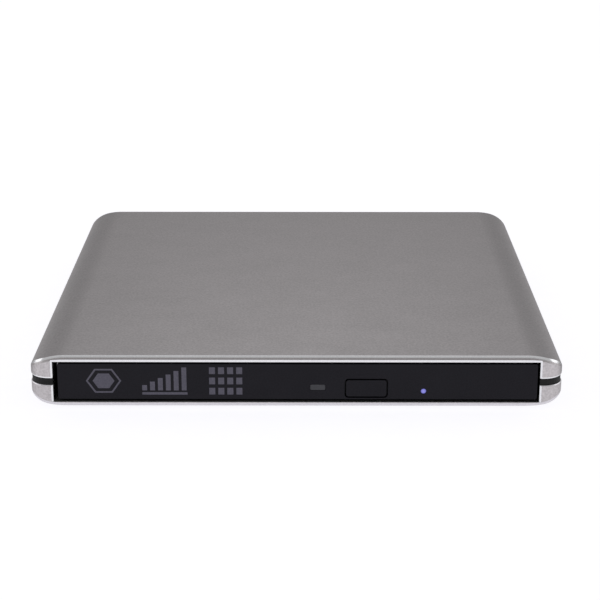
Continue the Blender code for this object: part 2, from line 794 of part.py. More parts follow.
def make_tray(mechanism):
    """The sliding tray: a deck with a disc recess, a raised rim, and a groove along each side."""
    deck_edge = rounded_rectangle((-TRAY_HALF, TRAY_HALF), (TRAY_FRONT, TRAY_BACK), 2.5 * MM, steps=4)
    tray = plate("tray", [deck_edge], (RIM_LOW, RIM_HIGH), TRAY_PLASTIC)
    half = TRAY_BODY_HALF
    body_height = (BASE_TOP + 0.15 * MM, RIM_LOW + 0.5 * MM)
    body = block("body", (-half, half), (TRAY_FRONT, TRAY_BACK), body_height, TRAY_PLASTIC)
    join(tray, body)
    inner = RAIL_INNER - 0.2 * MM - TRAY_SIDE_WALL
    under = block(
        "under",
        (-inner, inner),
        (TRAY_FRONT + TRAY_SIDE_WALL, TRAY_BACK + MM),
        (0, DECK_LOW),
        TRAY_PLASTIC,
    )
    cut(tray, under)
    for side in (-1, 1):
        groove = block(
            "groove",
            sorted((side * (RAIL_INNER - 0.2 * MM), side * 66 * MM)),
            (TRAY_FRONT - MM, TRAY_BACK + MM),
            (GROOVE_LOW, GROOVE_HIGH),
            TRAY_PLASTIC,
        )
        cut(tray, groove)
    for radius, floor in ((DISC_RECESS, DECK_HIGH), (SMALL_DISC_RECESS, DECK_HIGH - SMALL_DISC_STEP)):
        low, high = (HUB.x, HUB.y, floor), (HUB.x, HUB.y, 20 * MM)
        recess = rod("recess", radius, low, high, TRAY_PLASTIC, segments=96)
        cut(tray, recess)
    pocket = plate("pocket", [frame_outline(0.4 * MM)], (0, COVER_LOW - 0.1 * MM), TRAY_PLASTIC, mechanism)
    window_edge = window_outline(DISC_RECESS - 0.4 * MM, 0.3 * MM)
    window = plate("window", [window_edge], (COVER_LOW - 0.4 * MM, 20 * MM), TRAY_PLASTIC, mechanism)
    cut(tray, pocket, window)
    for u, v in DAMPERS.values():
        boss_low, boss_high = (u, v, 7.25 * MM), (u, v, DECK_LOW + 0.5 * MM)
        join(tray, rod("boss", 2.2 * MM, boss_low, boss_high, TRAY_PLASTIC, mechanism))
        cut(tray, rod("bore", 0.95 * MM, (u, v, 6 * MM), (u, v, 8.4 * MM), TRAY_PLASTIC, mechanism))
    make_tray_fittings(tray)
    return tray


def make_tray_fittings(tray):
    """The latch's pivot and the ejector's barrel, both under the deck."""
    x, y = LATCH_PIVOT.x, LATCH_PIVOT.y
    pin = rod("pivot", PIVOT_RADIUS, (x, y, 4.2 * MM), (x, y, DECK_LOW + 0.5 * MM), TRAY_PLASTIC)
    join(tray, pin)
    x, axis = PLUNGER.x, PLUNGER.z
    half = 2.4 * MM
    barrel = block("barrel", (x - half, x + half), (34 * MM, 55.6 * MM), (4.3 * MM, 8.2 * MM), TRAY_PLASTIC)
    bore = rod("bore", 1.55 * MM, (x, 35.2 * MM, axis), (x, 54.6 * MM, axis), TRAY_PLASTIC)
    mouth = rod("mouth", 1.05 * MM, (x, 50 * MM, axis), (x, 60 * MM, axis), TRAY_PLASTIC)
    join(tray, barrel)
    cut(tray, bore, mouth)


def make_bezel():
    face = rounded_rectangle(BEZEL_SPAN, (BEZEL_LOW, BEZEL_HIGH), 0.5 * MM, steps=3)
    bezel = plate("bezel", [face], (BEZEL_FRONT, BEZEL_BACK), BLACK_PLASTIC, along="Y")
    hollow = block(
        "hollow",
        (BEZEL_SPAN[0] + BEZEL_RIM, BEZEL_SPAN[1] - BEZEL_RIM),
        (BEZEL_FRONT + BEZEL_FACE, BEZEL_BACK + MM),
        (BEZEL_LOW + BEZEL_RIM, BEZEL_HIGH - BEZEL_RIM),
        BLACK_PLASTIC,
    )
    cut(bezel, hollow)
    through = (BEZEL_FRONT - MM, BEZEL_FRONT + BEZEL_FACE + 1.3 * MM)
    for centre, size, gap, radius in (
        (BUTTON_CENTRE, BUTTON_SIZE, BUTTON_GAP, 0.95 * MM),
        (WINDOW_CENTRE, WINDOW_SIZE, 0.05 * MM, 0.45 * MM),
    ):
        hole = facing_rectangle(centre, size, gap, radius)
        cut(bezel, plate("hole", [hole], through, BLACK_PLASTIC, along="Y"))
    hole = rod(
        "hole",
        LIGHT_RADIUS + 0.05 * MM,
        (LIGHT_CENTRE.x, through[0], LIGHT_CENTRE.z),
        (LIGHT_CENTRE.x, through[1], LIGHT_CENTRE.z),
        BLACK_PLASTIC,
    )
    cut(bezel, hole)
    return bezel


def facing_rectangle(centre, size, grow, radius):
    """A rounded rectangle in (x, z), grown outwards by a gap."""
    return rounded_rectangle(
        (centre.x - size.x / 2 - grow, centre.x + size.x / 2 + grow),
        (centre.z - size.z / 2 - grow, centre.z + size.z / 2 + grow),
        radius,
        steps=4,
    )


def make_bezel_fittings():
    """Button, activity window, status light, and the small board behind them."""
    inside = BEZEL_FRONT + BEZEL_FACE
    button = plate(
        "eject_button",
        [facing_rectangle(BUTTON_CENTRE, BUTTON_SIZE, 0, 0.65 * MM)],
        (BEZEL_FRONT - 0.05 * MM, inside + 0.25 * MM),
        BLACK_PLASTIC,
        along="Y",
    )
    flange = block(
        "flange",
        (BUTTON_CENTRE.x - BUTTON_SIZE.x / 2 - 0.9 * MM, BUTTON_CENTRE.x + BUTTON_SIZE.x / 2 + 0.9 * MM),
        (inside + 0.1 * MM, inside + 0.5 * MM),
        (BEZEL_LOW + BEZEL_RIM + 0.15 * MM, BUTTON_CENTRE.z + 1.8 * MM),
        BLACK_PLASTIC,
    )
    join(button, flange)
    window = plate(
        "activity_window",
        [facing_rectangle(WINDOW_CENTRE, WINDOW_SIZE, 0, 0.4 * MM)],
        (BEZEL_FRONT + 0.05 * MM, inside + 0.3 * MM),
        LIGHT_GUIDE,
        along="Y",
    )
    window_back = plate(
        "back",
        [facing_rectangle(WINDOW_CENTRE, WINDOW_SIZE, 0.4 * MM, 0.5 * MM)],
        (inside + 0.1 * MM, inside + 0.8 * MM),
        LIGHT_GUIDE,
        along="Y",
    )
    join(window, window_back)
    x, z = LIGHT_CENTRE.x, LIGHT_CENTRE.z
    light = rod(
        "status_light", LIGHT_RADIUS, (x, BEZEL_FRONT + 0.2 * MM, z), (x, inside + 0.3 * MM, z), BLUE_LAMP
    )
    join(light, rod("back", 1.1 * MM, (x, inside + 0.1 * MM, z), (x, inside + 0.8 * MM, z), BLUE_LAMP))
    board_front = inside + 2.0 * MM
    depth = (board_front, board_front + 0.7 * MM)
    board = block("front_board", (2 * MM, 38 * MM), depth, (4.2 * MM, 8.6 * MM), CIRCUIT_BOARD)
    switch_x, switch_z = BUTTON_CENTRE.x, BUTTON_CENTRE.z
    body = block(
        "switch",
        (switch_x - 2.2 * MM, switch_x + 2.2 * MM),
        (board_front - 0.5 * MM, board_front + 0.2 * MM),
        (switch_z - 1.6 * MM, switch_z + 1.6 * MM),
        CIRCUIT_BOARD,
    )
    join(board, body)
    for place in (WINDOW_CENTRE, LIGHT_CENTRE):
        lamp = block(
            "lamp",
            (place.x - 0.8 * MM, place.x + 0.8 * MM),
            (board_front - 0.6 * MM, board_front + 0.2 * MM),
            (place.z - 0.5 * MM, place.z + 0.5 * MM),
            CIRCUIT_BOARD,
        )
        join(board, lamp)


def make_latch():
    """The tray latch, drawn clear of the post on the pan, turning on the tray's pivot pin."""
    pivot = bpy.data.objects.new("latch_pivot", None)
    pivot.location = (LATCH_PIVOT.x, LATCH_PIVOT.y, 0)
    PARTS.objects.link(pivot)
    arm = [(-7.0, 1.0), (-7.0, -0.8), (-1.5, -1.8), (1.5, -1.8), (2.0, 1.0)]
    hook = [(1.0, 9.0), (-0.2, 12.6), (2.2, 13.2), (1.2, 15.4), (-2.6, 14.2), (-1.4, 8.0), (-1.8, 2.2)]
    outline = [(x * MM, y * MM) for x, y in arm + hook]
    hole = circle((0, 0), PIVOT_RADIUS + 0.15 * MM, 20)
    plate("latch_lever", [outline, hole], (4.6 * MM, 5.8 * MM), PALE_PLASTIC, pivot)


def make_solenoid():
    body = block("solenoid", (21 * MM, 31 * MM), (-62.5 * MM, -55.5 * MM), (4.4 * MM, 7.6 * MM), COPPER)
    pole = block("pole", (30 * MM, 32.4 * MM), (-61.5 * MM, -59.5 * MM), (4.6 * MM, 6.4 * MM), COPPER)
    return join(body, pole)


def make_ejector():
    """The spring-loaded plunger that pushes the tray out by its first few millimetres."""
    x, axis = PLUNGER.x, PLUNGER.z
    plunger = rod("eject_plunger", 0.85 * MM, (x, 44.4 * MM, axis), (x, 57.7 * MM, axis), PALE_PLASTIC)
    join(plunger, rod("head", 1.4 * MM, (x, 44.5 * MM, axis), (x, 46.0 * MM, axis), PALE_PLASTIC))
    turns, start, end, radius = 6, 35.7 * MM, 44.1 * MM, 1.1 * MM
    curve = bpy.data.curves.new("plunger_spring", "CURVE")
    curve.dimensions = "3D"
    curve.bevel_depth = 0.2 * MM
    curve.bevel_resolution = 0
    curve.use_fill_caps = True
    per_turn = 8
    spline = curve.splines.new("POLY")
    spline.points.add(turns * per_turn)
    for i, point in enumerate(spline.points):
        angle = 2 * math.pi * i / per_turn
        along = start + (end - start) * i / (turns * per_turn)
        point.co = (x + radius * math.cos(angle), along, axis + radius * math.sin(angle), 1)
    spring = bpy.data.objects.new("plunger_spring", curve)
    curve.materials.append(BRIGHT_STEEL)
    PARTS.objects.link(spring)


# ---------------------------------------------------------------- sled mechanism


def make_traverse(mechanism):
    """The frame that carries motor, rods and sled, its cover, and the plate below it."""
    frame = plate("traverse_frame", [frame_outline()], (FRAME_LOW, FRAME_HIGH), TRAY_PLASTIC, mechanism)
    bay = block(
        "bay",
        (13.9 * MM, FRAME_END - 1.6 * MM),
        (FRAME_NEAR_V + 1.2 * MM, FRAME_FAR_V - 1.2 * MM),
        (0, 20 * MM),
        TRAY_PLASTIC,
        mechanism,
    )
    across = (11.4 * MM, FRAME_FAR_V - 1.2 * MM)
    feed_bay = block("feed_bay", (9 * MM, 22 * MM), across, (0, 20 * MM), TRAY_PLASTIC, mechanism)
    motor_bay = rod("motor_bay", MOTOR_BAY, (0, 0, 0), (0, 0, 20 * MM), TRAY_PLASTIC, mechanism, segments=48)
    for u, v in DAMPERS.values():
        half, reach, height = 2.6 * MM, 5.5 * MM, (5.7 * MM, 6.3 * MM)
        if v == 0:
            along, across = (u, u + reach), (-half, half)
        else:
            along, across = (u - half, u + half), sorted((v, v - math.copysign(reach, v)))
        ear = block("ear", along, across, height, TRAY_PLASTIC, mechanism)
        tip = rod("tip", half, (u, v, height[0]), (u, v, height[1]), TRAY_PLASTIC, mechanism)
        join(frame, ear, tip)
    cut(frame, bay, feed_bay, motor_bay)
    for u, v in DAMPERS.values():
        cut(frame, rod("hole", 1.6 * MM, (u, v, 5 * MM), (u, v, 7 * MM), TRAY_PLASTIC, mechanism))
    for v, radius in ((MAIN_ROD_V, MAIN_ROD_RADIUS), (SUB_ROD_V, SUB_ROD_RADIUS), (SCREW_V, 0.6 * MM)):
        start = 8 * MM if v != SCREW_V else 40 * MM
        hole = rod(
            "hole",
            radius + 0.06 * MM,
            (start, v, ROD_HEIGHT),
            (FRAME_END + MM, v, ROD_HEIGHT),
            TRAY_PLASTIC,
            mechanism,
        )
        cut(frame, hole)

    cover_edge = window_outline(DISC_RECESS - 0.8 * MM)
    cover = plate("traverse_cover", [cover_edge], (COVER_LOW, DECK_HIGH), STEEL, mechanism)
    slot = rounded_rectangle((15.2 * MM, 70 * MM), (-11.4 * MM, 11.8 * MM), 2 * MM, steps=4)
    hub_hole = rod("hub_hole", 13.2 * MM, (0, 0, 0), (0, 0, 20 * MM), STEEL, mechanism, segments=48)
    cut(cover, plate("slot", [slot], (0, 20 * MM), STEEL, mechanism), hub_hole)
    for u, v in cover_screw_places():
        low, high, top = (u, v, 7.5 * MM), (u, v, COVER_LOW - 0.05 * MM), (u, v, 20 * MM)
        join(frame, rod("pillar", 1.7 * MM, low, high, TRAY_PLASTIC, mechanism, segments=16))
        low = (u, v, 6 * MM)
        cut(frame, rod("bore", 0.8 * MM, low, top, TRAY_PLASTIC, mechanism, segments=16))
        cut(cover, rod("hole", 0.9 * MM, low, top, STEEL, mechanism, segments=16))
    for (u, v), name in zip(cover_screw_places(), ("near", "far")):
        screw("traverse_screw_" + name, 1.5 * MM, 0.45 * MM, 0.65 * MM, 1.9 * MM,
              (u, v, DECK_HIGH + 0.5 * MM), STEEL, mechanism)
    plate("tray_bottom_plate", [frame_outline()], (BASE_TOP + 0.15 * MM, 4.2 * MM), STEEL, mechanism)


def cover_screw_places():
    return ((-14.5 * MM, -14.5 * MM), (-14.5 * MM, 14.9 * MM))


def make_dampers(mechanism):
    for name, (u, v) in DAMPERS.items():
        turned(
            "damper_" + name,
            [
                (2.6 * MM, 7.15 * MM),
                (2.6 * MM, 6.4 * MM),
                (1.5 * MM, 6.4 * MM),
                (1.5 * MM, 5.6 * MM),
                (2.6 * MM, 5.6 * MM),
                (2.6 * MM, 4.95 * MM),
                (1.0 * MM, 4.95 * MM),
                (1.0 * MM, 7.15 * MM),
            ],
            (u, v, 0),
            RUBBER,
            mechanism,
            steps=16,
        )
        head = (u, v, 4.3 * MM)
        made = screw("damper_screw_" + name, 1.9 * MM, 0.6 * MM, 0.8 * MM, 3.2 * MM, head, STEEL, mechanism)
        made.rotation_euler = (math.pi, 0, 0)


def make_spindle(mechanism):
    """The disc motor: base with bearing sleeve, stator, rotor with hub, rubber ring and claws."""
    turned(
        "spindle_base",
        [
            (3.0 * MM, 8.0 * MM),
            (3.0 * MM, 4.6 * MM),
            (13.4 * MM, 4.6 * MM),
            (13.4 * MM, 4.25 * MM),
            (0.0001 * MM, 4.25 * MM),
            (0.0001 * MM, 4.6 * MM),
            (1.1 * MM, 4.6 * MM),
            (1.1 * MM, 8.0 * MM),
        ],
        (0, 0, 0),
        STEEL,
        mechanism,
        steps=32,
    )
    stator = plate(
        "stator",
        [star_outline(12, 10.6 * MM, 6.6 * MM), circle((0, 0), 3.4 * MM, 24)],
        (4.8 * MM, 7.2 * MM),
        COPPER,
        mechanism,
    )
    rotor = turned(
        "rotor",
        [
            (0, 11.6 * MM),
            (6.6 * MM, 11.6 * MM),
            (7.4 * MM, 10.8 * MM),
            (7.4 * MM, 9.4 * MM),
            (9.0 * MM, 9.4 * MM),
            (9.0 * MM, 9.15 * MM),
            (12.2 * MM, 9.15 * MM),
            (12.4 * MM, 8.9 * MM),
            (12.4 * MM, 5.2 * MM),
            (11.7 * MM, 5.2 * MM),
            (11.7 * MM, 8.4 * MM),
            (1.0 * MM, 8.4 * MM),
            (1.0 * MM, 4.9 * MM),
            (0, 4.9 * MM),
        ],
        (0, 0, 0),
        BRIGHT_STEEL,
        mechanism,
        steps=36,
    )
    turned(
        "friction_ring",
        [
            (11.9 * MM, DISC_PLANE - 0.05 * MM),
            (11.9 * MM, 9.2 * MM),
            (9.4 * MM, 9.2 * MM),
            (9.4 * MM, DISC_PLANE - 0.05 * MM),
        ],
        (0, 0, 0),
        RUBBER,
        mechanism,
        steps=36,
    )
    for i in range(3):
        turn = math.radians(120 * i + 60)
        across, height = (-1.8 * MM, 1.8 * MM), (9.75 * MM, 12 * MM)
        pocket = block("pocket", (3.6 * MM, 9 * MM), across, height, STEEL, mechanism)
        orbit(pocket, turn)
        cut(rotor, pocket)
        outline = [
            (4.4 * MM, 9.9 * MM),
            (7.0 * MM, 9.9 * MM),
            (7.3 * MM, 10.9 * MM),
            (7.85 * MM, 11.3 * MM),
            (6.7 * MM, 11.8 * MM),
            (4.4 * MM, 11.8 * MM),
        ]
        name = f"disc_claw_{i + 1}"
        claw = plate(name, [outline], (-1.6 * MM, 1.6 * MM), PALE_PLASTIC, mechanism, along="Y")
        orbit(claw, turn)
    return stator


def orbit(made, angle):
    """Turns an object made at angle 0 about its parent's vertical axis."""
    made.rotation_euler = (made.rotation_euler.x, made.rotation_euler.y, made.rotation_euler.z + angle)
    x, y, z = made.location
    made.location = (
        x * math.cos(angle) - y * math.sin(angle),
        x * math.sin(angle) + y * math.cos(angle),
        z,
    )


def star_outline(teeth, outer, inner):
    """A toothed ring: each tooth is a narrow neck with a wider tip."""
    points = []
    pitch = 360 / teeth
    neck = outer - 1 * MM
    tooth = ((-0.38, outer), (0.38, outer), (0.2, neck), (0.2, inner), (0.8, inner), (0.8, neck))
    for i in range(teeth):
        for share, radius in tooth:
            turn = math.radians((i + share) * pitch)
            points.append((radius * math.cos(turn), radius * math.sin(turn)))
    return points


def make_feed(mechanism):
    """Guide rods, lead screw and the stepper motor that turns it."""
    end = FRAME_END - 0.3 * MM
    rod("main_rod", MAIN_ROD_RADIUS, (10.6 * MM, MAIN_ROD_V, ROD_HEIGHT), (end, MAIN_ROD_V, ROD_HEIGHT),
        BRIGHT_STEEL, mechanism)
    rod("sub_rod", SUB_ROD_RADIUS, (9.0 * MM, SUB_ROD_V, ROD_HEIGHT), (end, SUB_ROD_V, ROD_HEIGHT),
        BRIGHT_STEEL, mechanism)
    motor = block(
        "feed_motor", (9.6 * MM, 20.4 * MM), (11.7 * MM, 16.0 * MM), (4.8 * MM, 7.7 * MM), STEEL, mechanism
    )
    bore_start, bore_end = (18 * MM, SCREW_V, ROD_HEIGHT), (25 * MM, SCREW_V, ROD_HEIGHT)
    cut(motor, rod("bore", 0.7 * MM, bore_start, bore_end, STEEL, mechanism))
    make_lead_screw(mechanism)


def make_lead_screw(mechanism):
    """A shaft with a wide helical groove, drawn as a swept worm of one triangular lobe."""
    start, end = 21.0 * MM, 65.0 * MM
    around, per_turn = 12, 5
    turns = (end - start) / SCREW_PITCH
    rings = int(turns * per_turn) + 1
    shape = bmesh.new()
    loops = []
    for i in range(rings):
        u = start + (end - start) * i / (rings - 1)
        loop = []
        for j in range(around):
            angle = 2 * math.pi * j / around
            phase = (angle / (2 * math.pi) - (u - start) / SCREW_PITCH) % 1
            depth = 0.3 * MM * max(0.0, 1 - abs(phase - 0.5) * 4)
            radius = SCREW_RADIUS - depth
            loop.append(shape.verts.new((u, radius * math.cos(angle), radius * math.sin(angle))))
        loops.append(loop)
    for first, second in zip(loops, loops[1:]):
        for j in range(around):
            k = (j + 1) % around
            shape.faces.new((first[j], first[k], second[k], second[j]))
    shape.faces.new(reversed(loops[0]))
    shape.faces.new(loops[-1])
    bmesh.ops.recalc_face_normals(shape, faces=shape.faces)
    mesh = bpy.data.meshes.new("lead_screw")
    shape.to_mesh(mesh)
    shape.free()
    screw_body = add_object("lead_screw", mesh, BRIGHT_STEEL, mechanism)
    screw_body.location = (0, SCREW_V, ROD_HEIGHT)
    for near, far in ((18.5 * MM, 21.5 * MM), (64.5 * MM, 67.0 * MM)):
        low, high = (near, SCREW_V, ROD_HEIGHT), (far, SCREW_V, ROD_HEIGHT)
        join(screw_body, rod("journal", 0.5 * MM, low, high, BRIGHT_STEEL, mechanism, segments=16))


def make_sled(mechanism):
    """The optical pickup: zinc body on the rods, steel cover, lens holder and lens."""
    near, far = SLED_HOME - SLED_HALF, SLED_HOME + SLED_HALF
    sled = block("sled", (near, far), (-11.9 * MM, 11.2 * MM), (SLED_LOW, SLED_HIGH), ZINC, mechanism)
    along, across = (SLED_HOME - 1 * MM, SLED_HOME + 5 * MM), (10.5 * MM, 15.4 * MM)
    arm = block("arm", along, across, (5.0 * MM, 7.6 * MM), ZINC, mechanism)
    join(sled, arm)
    for v, radius in ((MAIN_ROD_V, MAIN_ROD_RADIUS + 0.08 * MM), (SCREW_V, SCREW_RADIUS + 0.1 * MM)):
        bore = rod("bore", radius, (near - MM, v, ROD_HEIGHT), (far + MM, v, ROD_HEIGHT), ZINC, mechanism)
        cut(sled, bore)
    along, across = (near - MM, far + MM), (-14 * MM, SUB_ROD_V + 1.0 * MM)
    height = (ROD_HEIGHT - 0.9 * MM, ROD_HEIGHT + 0.9 * MM)
    fork = block("fork", along, across, height, ZINC, mechanism)
    along, across = (SLED_HOME - 5 * MM, SLED_HOME + 5 * MM), (-5.6 * MM, 5.6 * MM)
    pit = block("pit", along, across, (5.6 * MM, 20 * MM), ZINC, mechanism)
    cut(sled, fork, pit)
    for span in ((near - 0.1 * MM, near + 4.1 * MM), (far - 4.1 * MM, far + 0.1 * MM)):
        notch = block("notch", span, (-12.5 * MM, -7.5 * MM), (7.3 * MM, 9 * MM), ZINC, mechanism)
        cut(sled, notch)

    edge = rounded_rectangle((near + 0.8 * MM, far - 0.8 * MM), (-6.8 * MM, 10.6 * MM), 1 * MM, steps=3)
    half = 4.4 * MM
    along, across = (SLED_HOME - half, SLED_HOME + half), (-4.8 * MM, 4.8 * MM)
    gap = rounded_rectangle(along, across, 0.8 * MM, steps=3)
    plate("sled_cover", [edge, gap], (SLED_HIGH + 0.05 * MM, SLED_HIGH + 0.3 * MM), STEEL, mechanism)

    holder_edge = rounded_rectangle(
        (SLED_HOME - 3.2 * MM, SLED_HOME + 3.2 * MM), (-4.0 * MM, 4.0 * MM), 0.8 * MM, steps=3
    )
    holder = plate("lens_holder", [holder_edge], (6.6 * MM, 8.75 * MM), BLACK_PLASTIC, mechanism)
    well = turned(
        "well",
        [
            (0, 12 * MM),
            (2.5 * MM, 12 * MM),
            (2.5 * MM, 8.1 * MM),
            (1.6 * MM, 8.1 * MM),
            (1.6 * MM, 6 * MM),
            (0, 6 * MM),
        ],
        (SLED_HOME, 0, 0),
        BLACK_PLASTIC,
        mechanism,
        steps=24,
    )
    cut(holder, well)
    radius, edge_low, crown = 2.4 * MM, 8.2 * MM, 0.5 * MM
    dome = [(radius * math.sin(math.radians(a)), 8.55 * MM + crown * math.cos(math.radians(a)))
            for a in range(0, 91, 15)]
    profile = dome + [(radius, edge_low), (0, edge_low)]
    turned("lens", profile, (SLED_HOME, 0, 0), LENS_GLASS, mechanism, steps=24)


def main():
    make_top_shell()
    make_bottom_shell()
    make_mid_frame()
    make_feet()
    make_case_screws()
    make_bridge_board()
    make_ports()
    make_sata_pair()
    make_drive_base()
    make_drive_cover()
    make_cover_screws()
    make_guides_and_rails()
    make_main_board()
    make_ribbon()
    mechanism = mechanism_frame()
    make_tray(mechanism)
    make_bezel()
    make_bezel_fittings()
    make_latch()
    make_solenoid()
    make_ejector()
    make_traverse(mechanism)
    make_dampers(mechanism)
    make_spindle(mechanism)
    make_feed(mechanism)
    make_sled(mechanism)


main()
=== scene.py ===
"""Looks for the external optical drive: case skins, finishes, studio and camera.

Frame: X to the right seen from the front, Y towards the back, Z up, in metres.
"""

import json
import math

import bmesh
import bpy
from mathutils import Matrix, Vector


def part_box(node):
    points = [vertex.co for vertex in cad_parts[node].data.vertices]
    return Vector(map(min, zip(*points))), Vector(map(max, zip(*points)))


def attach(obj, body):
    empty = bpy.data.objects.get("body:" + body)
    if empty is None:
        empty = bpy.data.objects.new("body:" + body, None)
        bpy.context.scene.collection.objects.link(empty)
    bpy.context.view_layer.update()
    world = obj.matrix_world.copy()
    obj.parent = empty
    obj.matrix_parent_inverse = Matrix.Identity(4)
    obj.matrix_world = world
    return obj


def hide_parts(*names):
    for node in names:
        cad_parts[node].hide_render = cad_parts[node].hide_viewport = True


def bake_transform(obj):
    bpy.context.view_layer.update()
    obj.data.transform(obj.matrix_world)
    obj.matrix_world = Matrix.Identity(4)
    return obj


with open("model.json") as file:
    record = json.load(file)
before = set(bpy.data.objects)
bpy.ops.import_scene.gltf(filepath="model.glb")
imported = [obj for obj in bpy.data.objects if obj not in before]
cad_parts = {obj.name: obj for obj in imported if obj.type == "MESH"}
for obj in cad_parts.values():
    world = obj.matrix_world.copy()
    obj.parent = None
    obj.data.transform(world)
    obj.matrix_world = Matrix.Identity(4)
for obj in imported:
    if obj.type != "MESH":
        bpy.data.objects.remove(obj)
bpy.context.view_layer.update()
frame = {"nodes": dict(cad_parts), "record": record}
NODES = frame["nodes"]

MM = 0.001
MERGE = 0.002 * MM

# Case form, shared with the CAD: an extruded section with elliptical corners and a rounded plan.
TOP_LOW, TOP_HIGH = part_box("top_shell")
BOTTOM_LOW, BOTTOM_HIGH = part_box("bottom_shell")
BAND_LOW, BAND_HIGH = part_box("mid_frame")
HALF_WIDTH = TOP_HIGH.x
CASE_FRONT, CASE_BACK = TOP_LOW.y, TOP_HIGH.y
CASE_TOP, CASE_BOTTOM = TOP_HIGH.z, BOTTOM_LOW.z
CORNER_ACROSS = 10 * MM
TOP_CORNER_DOWN = 4.7 * MM
BOTTOM_CORNER_DOWN = 3.5 * MM
PLAN_RADIUS = 5.5 * MM
WALL = 1.6 * MM
ROOF = 1.5 * MM
FLOOR = 1.2 * MM
FRONT_WALL = 2.0 * MM
OPENING_HALF = 64.6 * MM
OPENING_LOW = 2.35 * MM
OPENING_HIGH = 13.45 * MM
PANEL_X = (3.7 * MM, 34.9 * MM)
PANEL_Z = (3.8 * MM, 12.1 * MM)
PANEL_RADIUS = 1.3 * MM

# Steps in from the front edge, as (inset, drop) in millimetres. The polished ridge of the top shell runs
# between its last two pairs.
TOP_LIP = ((0.0, 1.1), (0.2, 0.56), (0.59, 0.0))
BOTTOM_LIP = ((0.0, 1.0), (0.08, 0.6), (0.25, 0.28), (0.5, 0.08), (0.85, 0.0))
# Polished edge along the band, as (inset, height), on the shell that opens down and the one that opens up.
BAND_EDGE = {"up": (0.1 * MM, 0.35 * MM), "down": (0.2 * MM, 0.22 * MM)}
# The opening's flare: how far it spreads at the sides, below and above, and how deep it is.
FLARE_SIDE, FLARE_LOW, FLARE_HIGH, FLARE_DEPTH = 0.45 * MM, 0.12 * MM, 0.75 * MM, 0.3 * MM


# ---------------------------------------------------------------- node materials


def socket(tree, target, value):
    if isinstance(value, bpy.types.NodeSocket):
        tree.links.new(value, target)
    else:
        target.default_value = value


def add_node(tree, kind, inputs=None, **settings):
    """A shader node with its settings and inputs; an input given as a socket is linked."""
    made = tree.nodes.new(kind)
    for key, value in settings.items():
        setattr(made, key, value)
    for key, value in (inputs or {}).items():
        socket(tree, made.inputs[key], value)
    return made


def object_point(tree):
    return add_node(tree, "ShaderNodeTexCoord").outputs["Object"]


def noise(tree, point, size, detail=2.0):
    """Noise between 0 and 1 whose lumps are about size metres across."""
    inputs = {"Vector": point, "Scale": 0.6 / size, "Detail": detail, "Roughness": 0.5, "Distortion": 0.0}
    return add_node(tree, "ShaderNodeTexNoise", inputs).outputs["Fac"]


def remap(tree, value, low, high, start=0.3, end=0.7):
    """Value from start to end turned into low to high."""
    made = add_node(
        tree,
        "ShaderNodeMapRange",
        {"Value": value, "From Min": start, "From Max": end, "To Min": low, "To Max": high},
    )
    return made.outputs["Result"]


def blend_colours(tree, share, first, second):
    """First turned into second as share goes from 0 to 1; slots 6 and 7 of the mix node are its colours."""
    made = add_node(tree, "ShaderNodeMix", data_type="RGBA")
    socket(tree, made.inputs["Factor"], share)
    for slot, value in ((6, first), (7, second)):
        if not isinstance(value, bpy.types.NodeSocket):
            value = (*value, 1)
        socket(tree, made.inputs[slot], value)
    return made.outputs[2]


def blend_values(tree, share, first, second):
    """The same for plain values, which are slots 2 and 3."""
    inputs = {"Factor": share, 2: first, 3: second}
    return add_node(tree, "ShaderNodeMix", inputs, data_type="FLOAT").outputs[0]


def bump(tree, height, distance):
    inputs = {"Height": height, "Distance": distance, "Strength": 1.0}
    return add_node(tree, "ShaderNodeBump", inputs).outputs["Normal"]


def new_material(name):
    made = bpy.data.materials.new("look_" + name)
    made.use_nodes = True
    tree = made.node_tree
    return made, tree, tree.nodes["Principled BSDF"]


def finish_material(
    name,
    dark,
    light,
    rough,
    grain,
    depth,
    metallic=0.0,
    specular=0.5,
    patch=6 * MM,
    patch_share=0.25,
    stretch=None,
    extra=None,
):
    """A finish with fine grain and broad patches: two tones, a roughness range and a bump."""
    made, tree, shader = new_material(name)
    point = object_point(tree)
    if stretch:
        point = add_node(tree, "ShaderNodeMapping", {"Vector": point, "Scale": stretch}).outputs["Vector"]
    fine = noise(tree, point, grain, detail=3.0)
    broad = noise(tree, point, patch, detail=2.0)
    mixed = blend_values(tree, patch_share, fine, broad)
    socket(tree, shader.inputs["Base Color"], blend_colours(tree, remap(tree, mixed, 0, 1), dark, light))
    socket(tree, shader.inputs["Roughness"], remap(tree, mixed, rough[1], rough[0]))
    socket(tree, shader.inputs["Normal"], bump(tree, fine, depth))
    socket(tree, shader.inputs["Metallic"], metallic)
    socket(tree, shader.inputs["Specular IOR Level"], specular)
    for key, value in (extra or {}).items():
        socket(tree, shader.inputs[key], value)
    return made


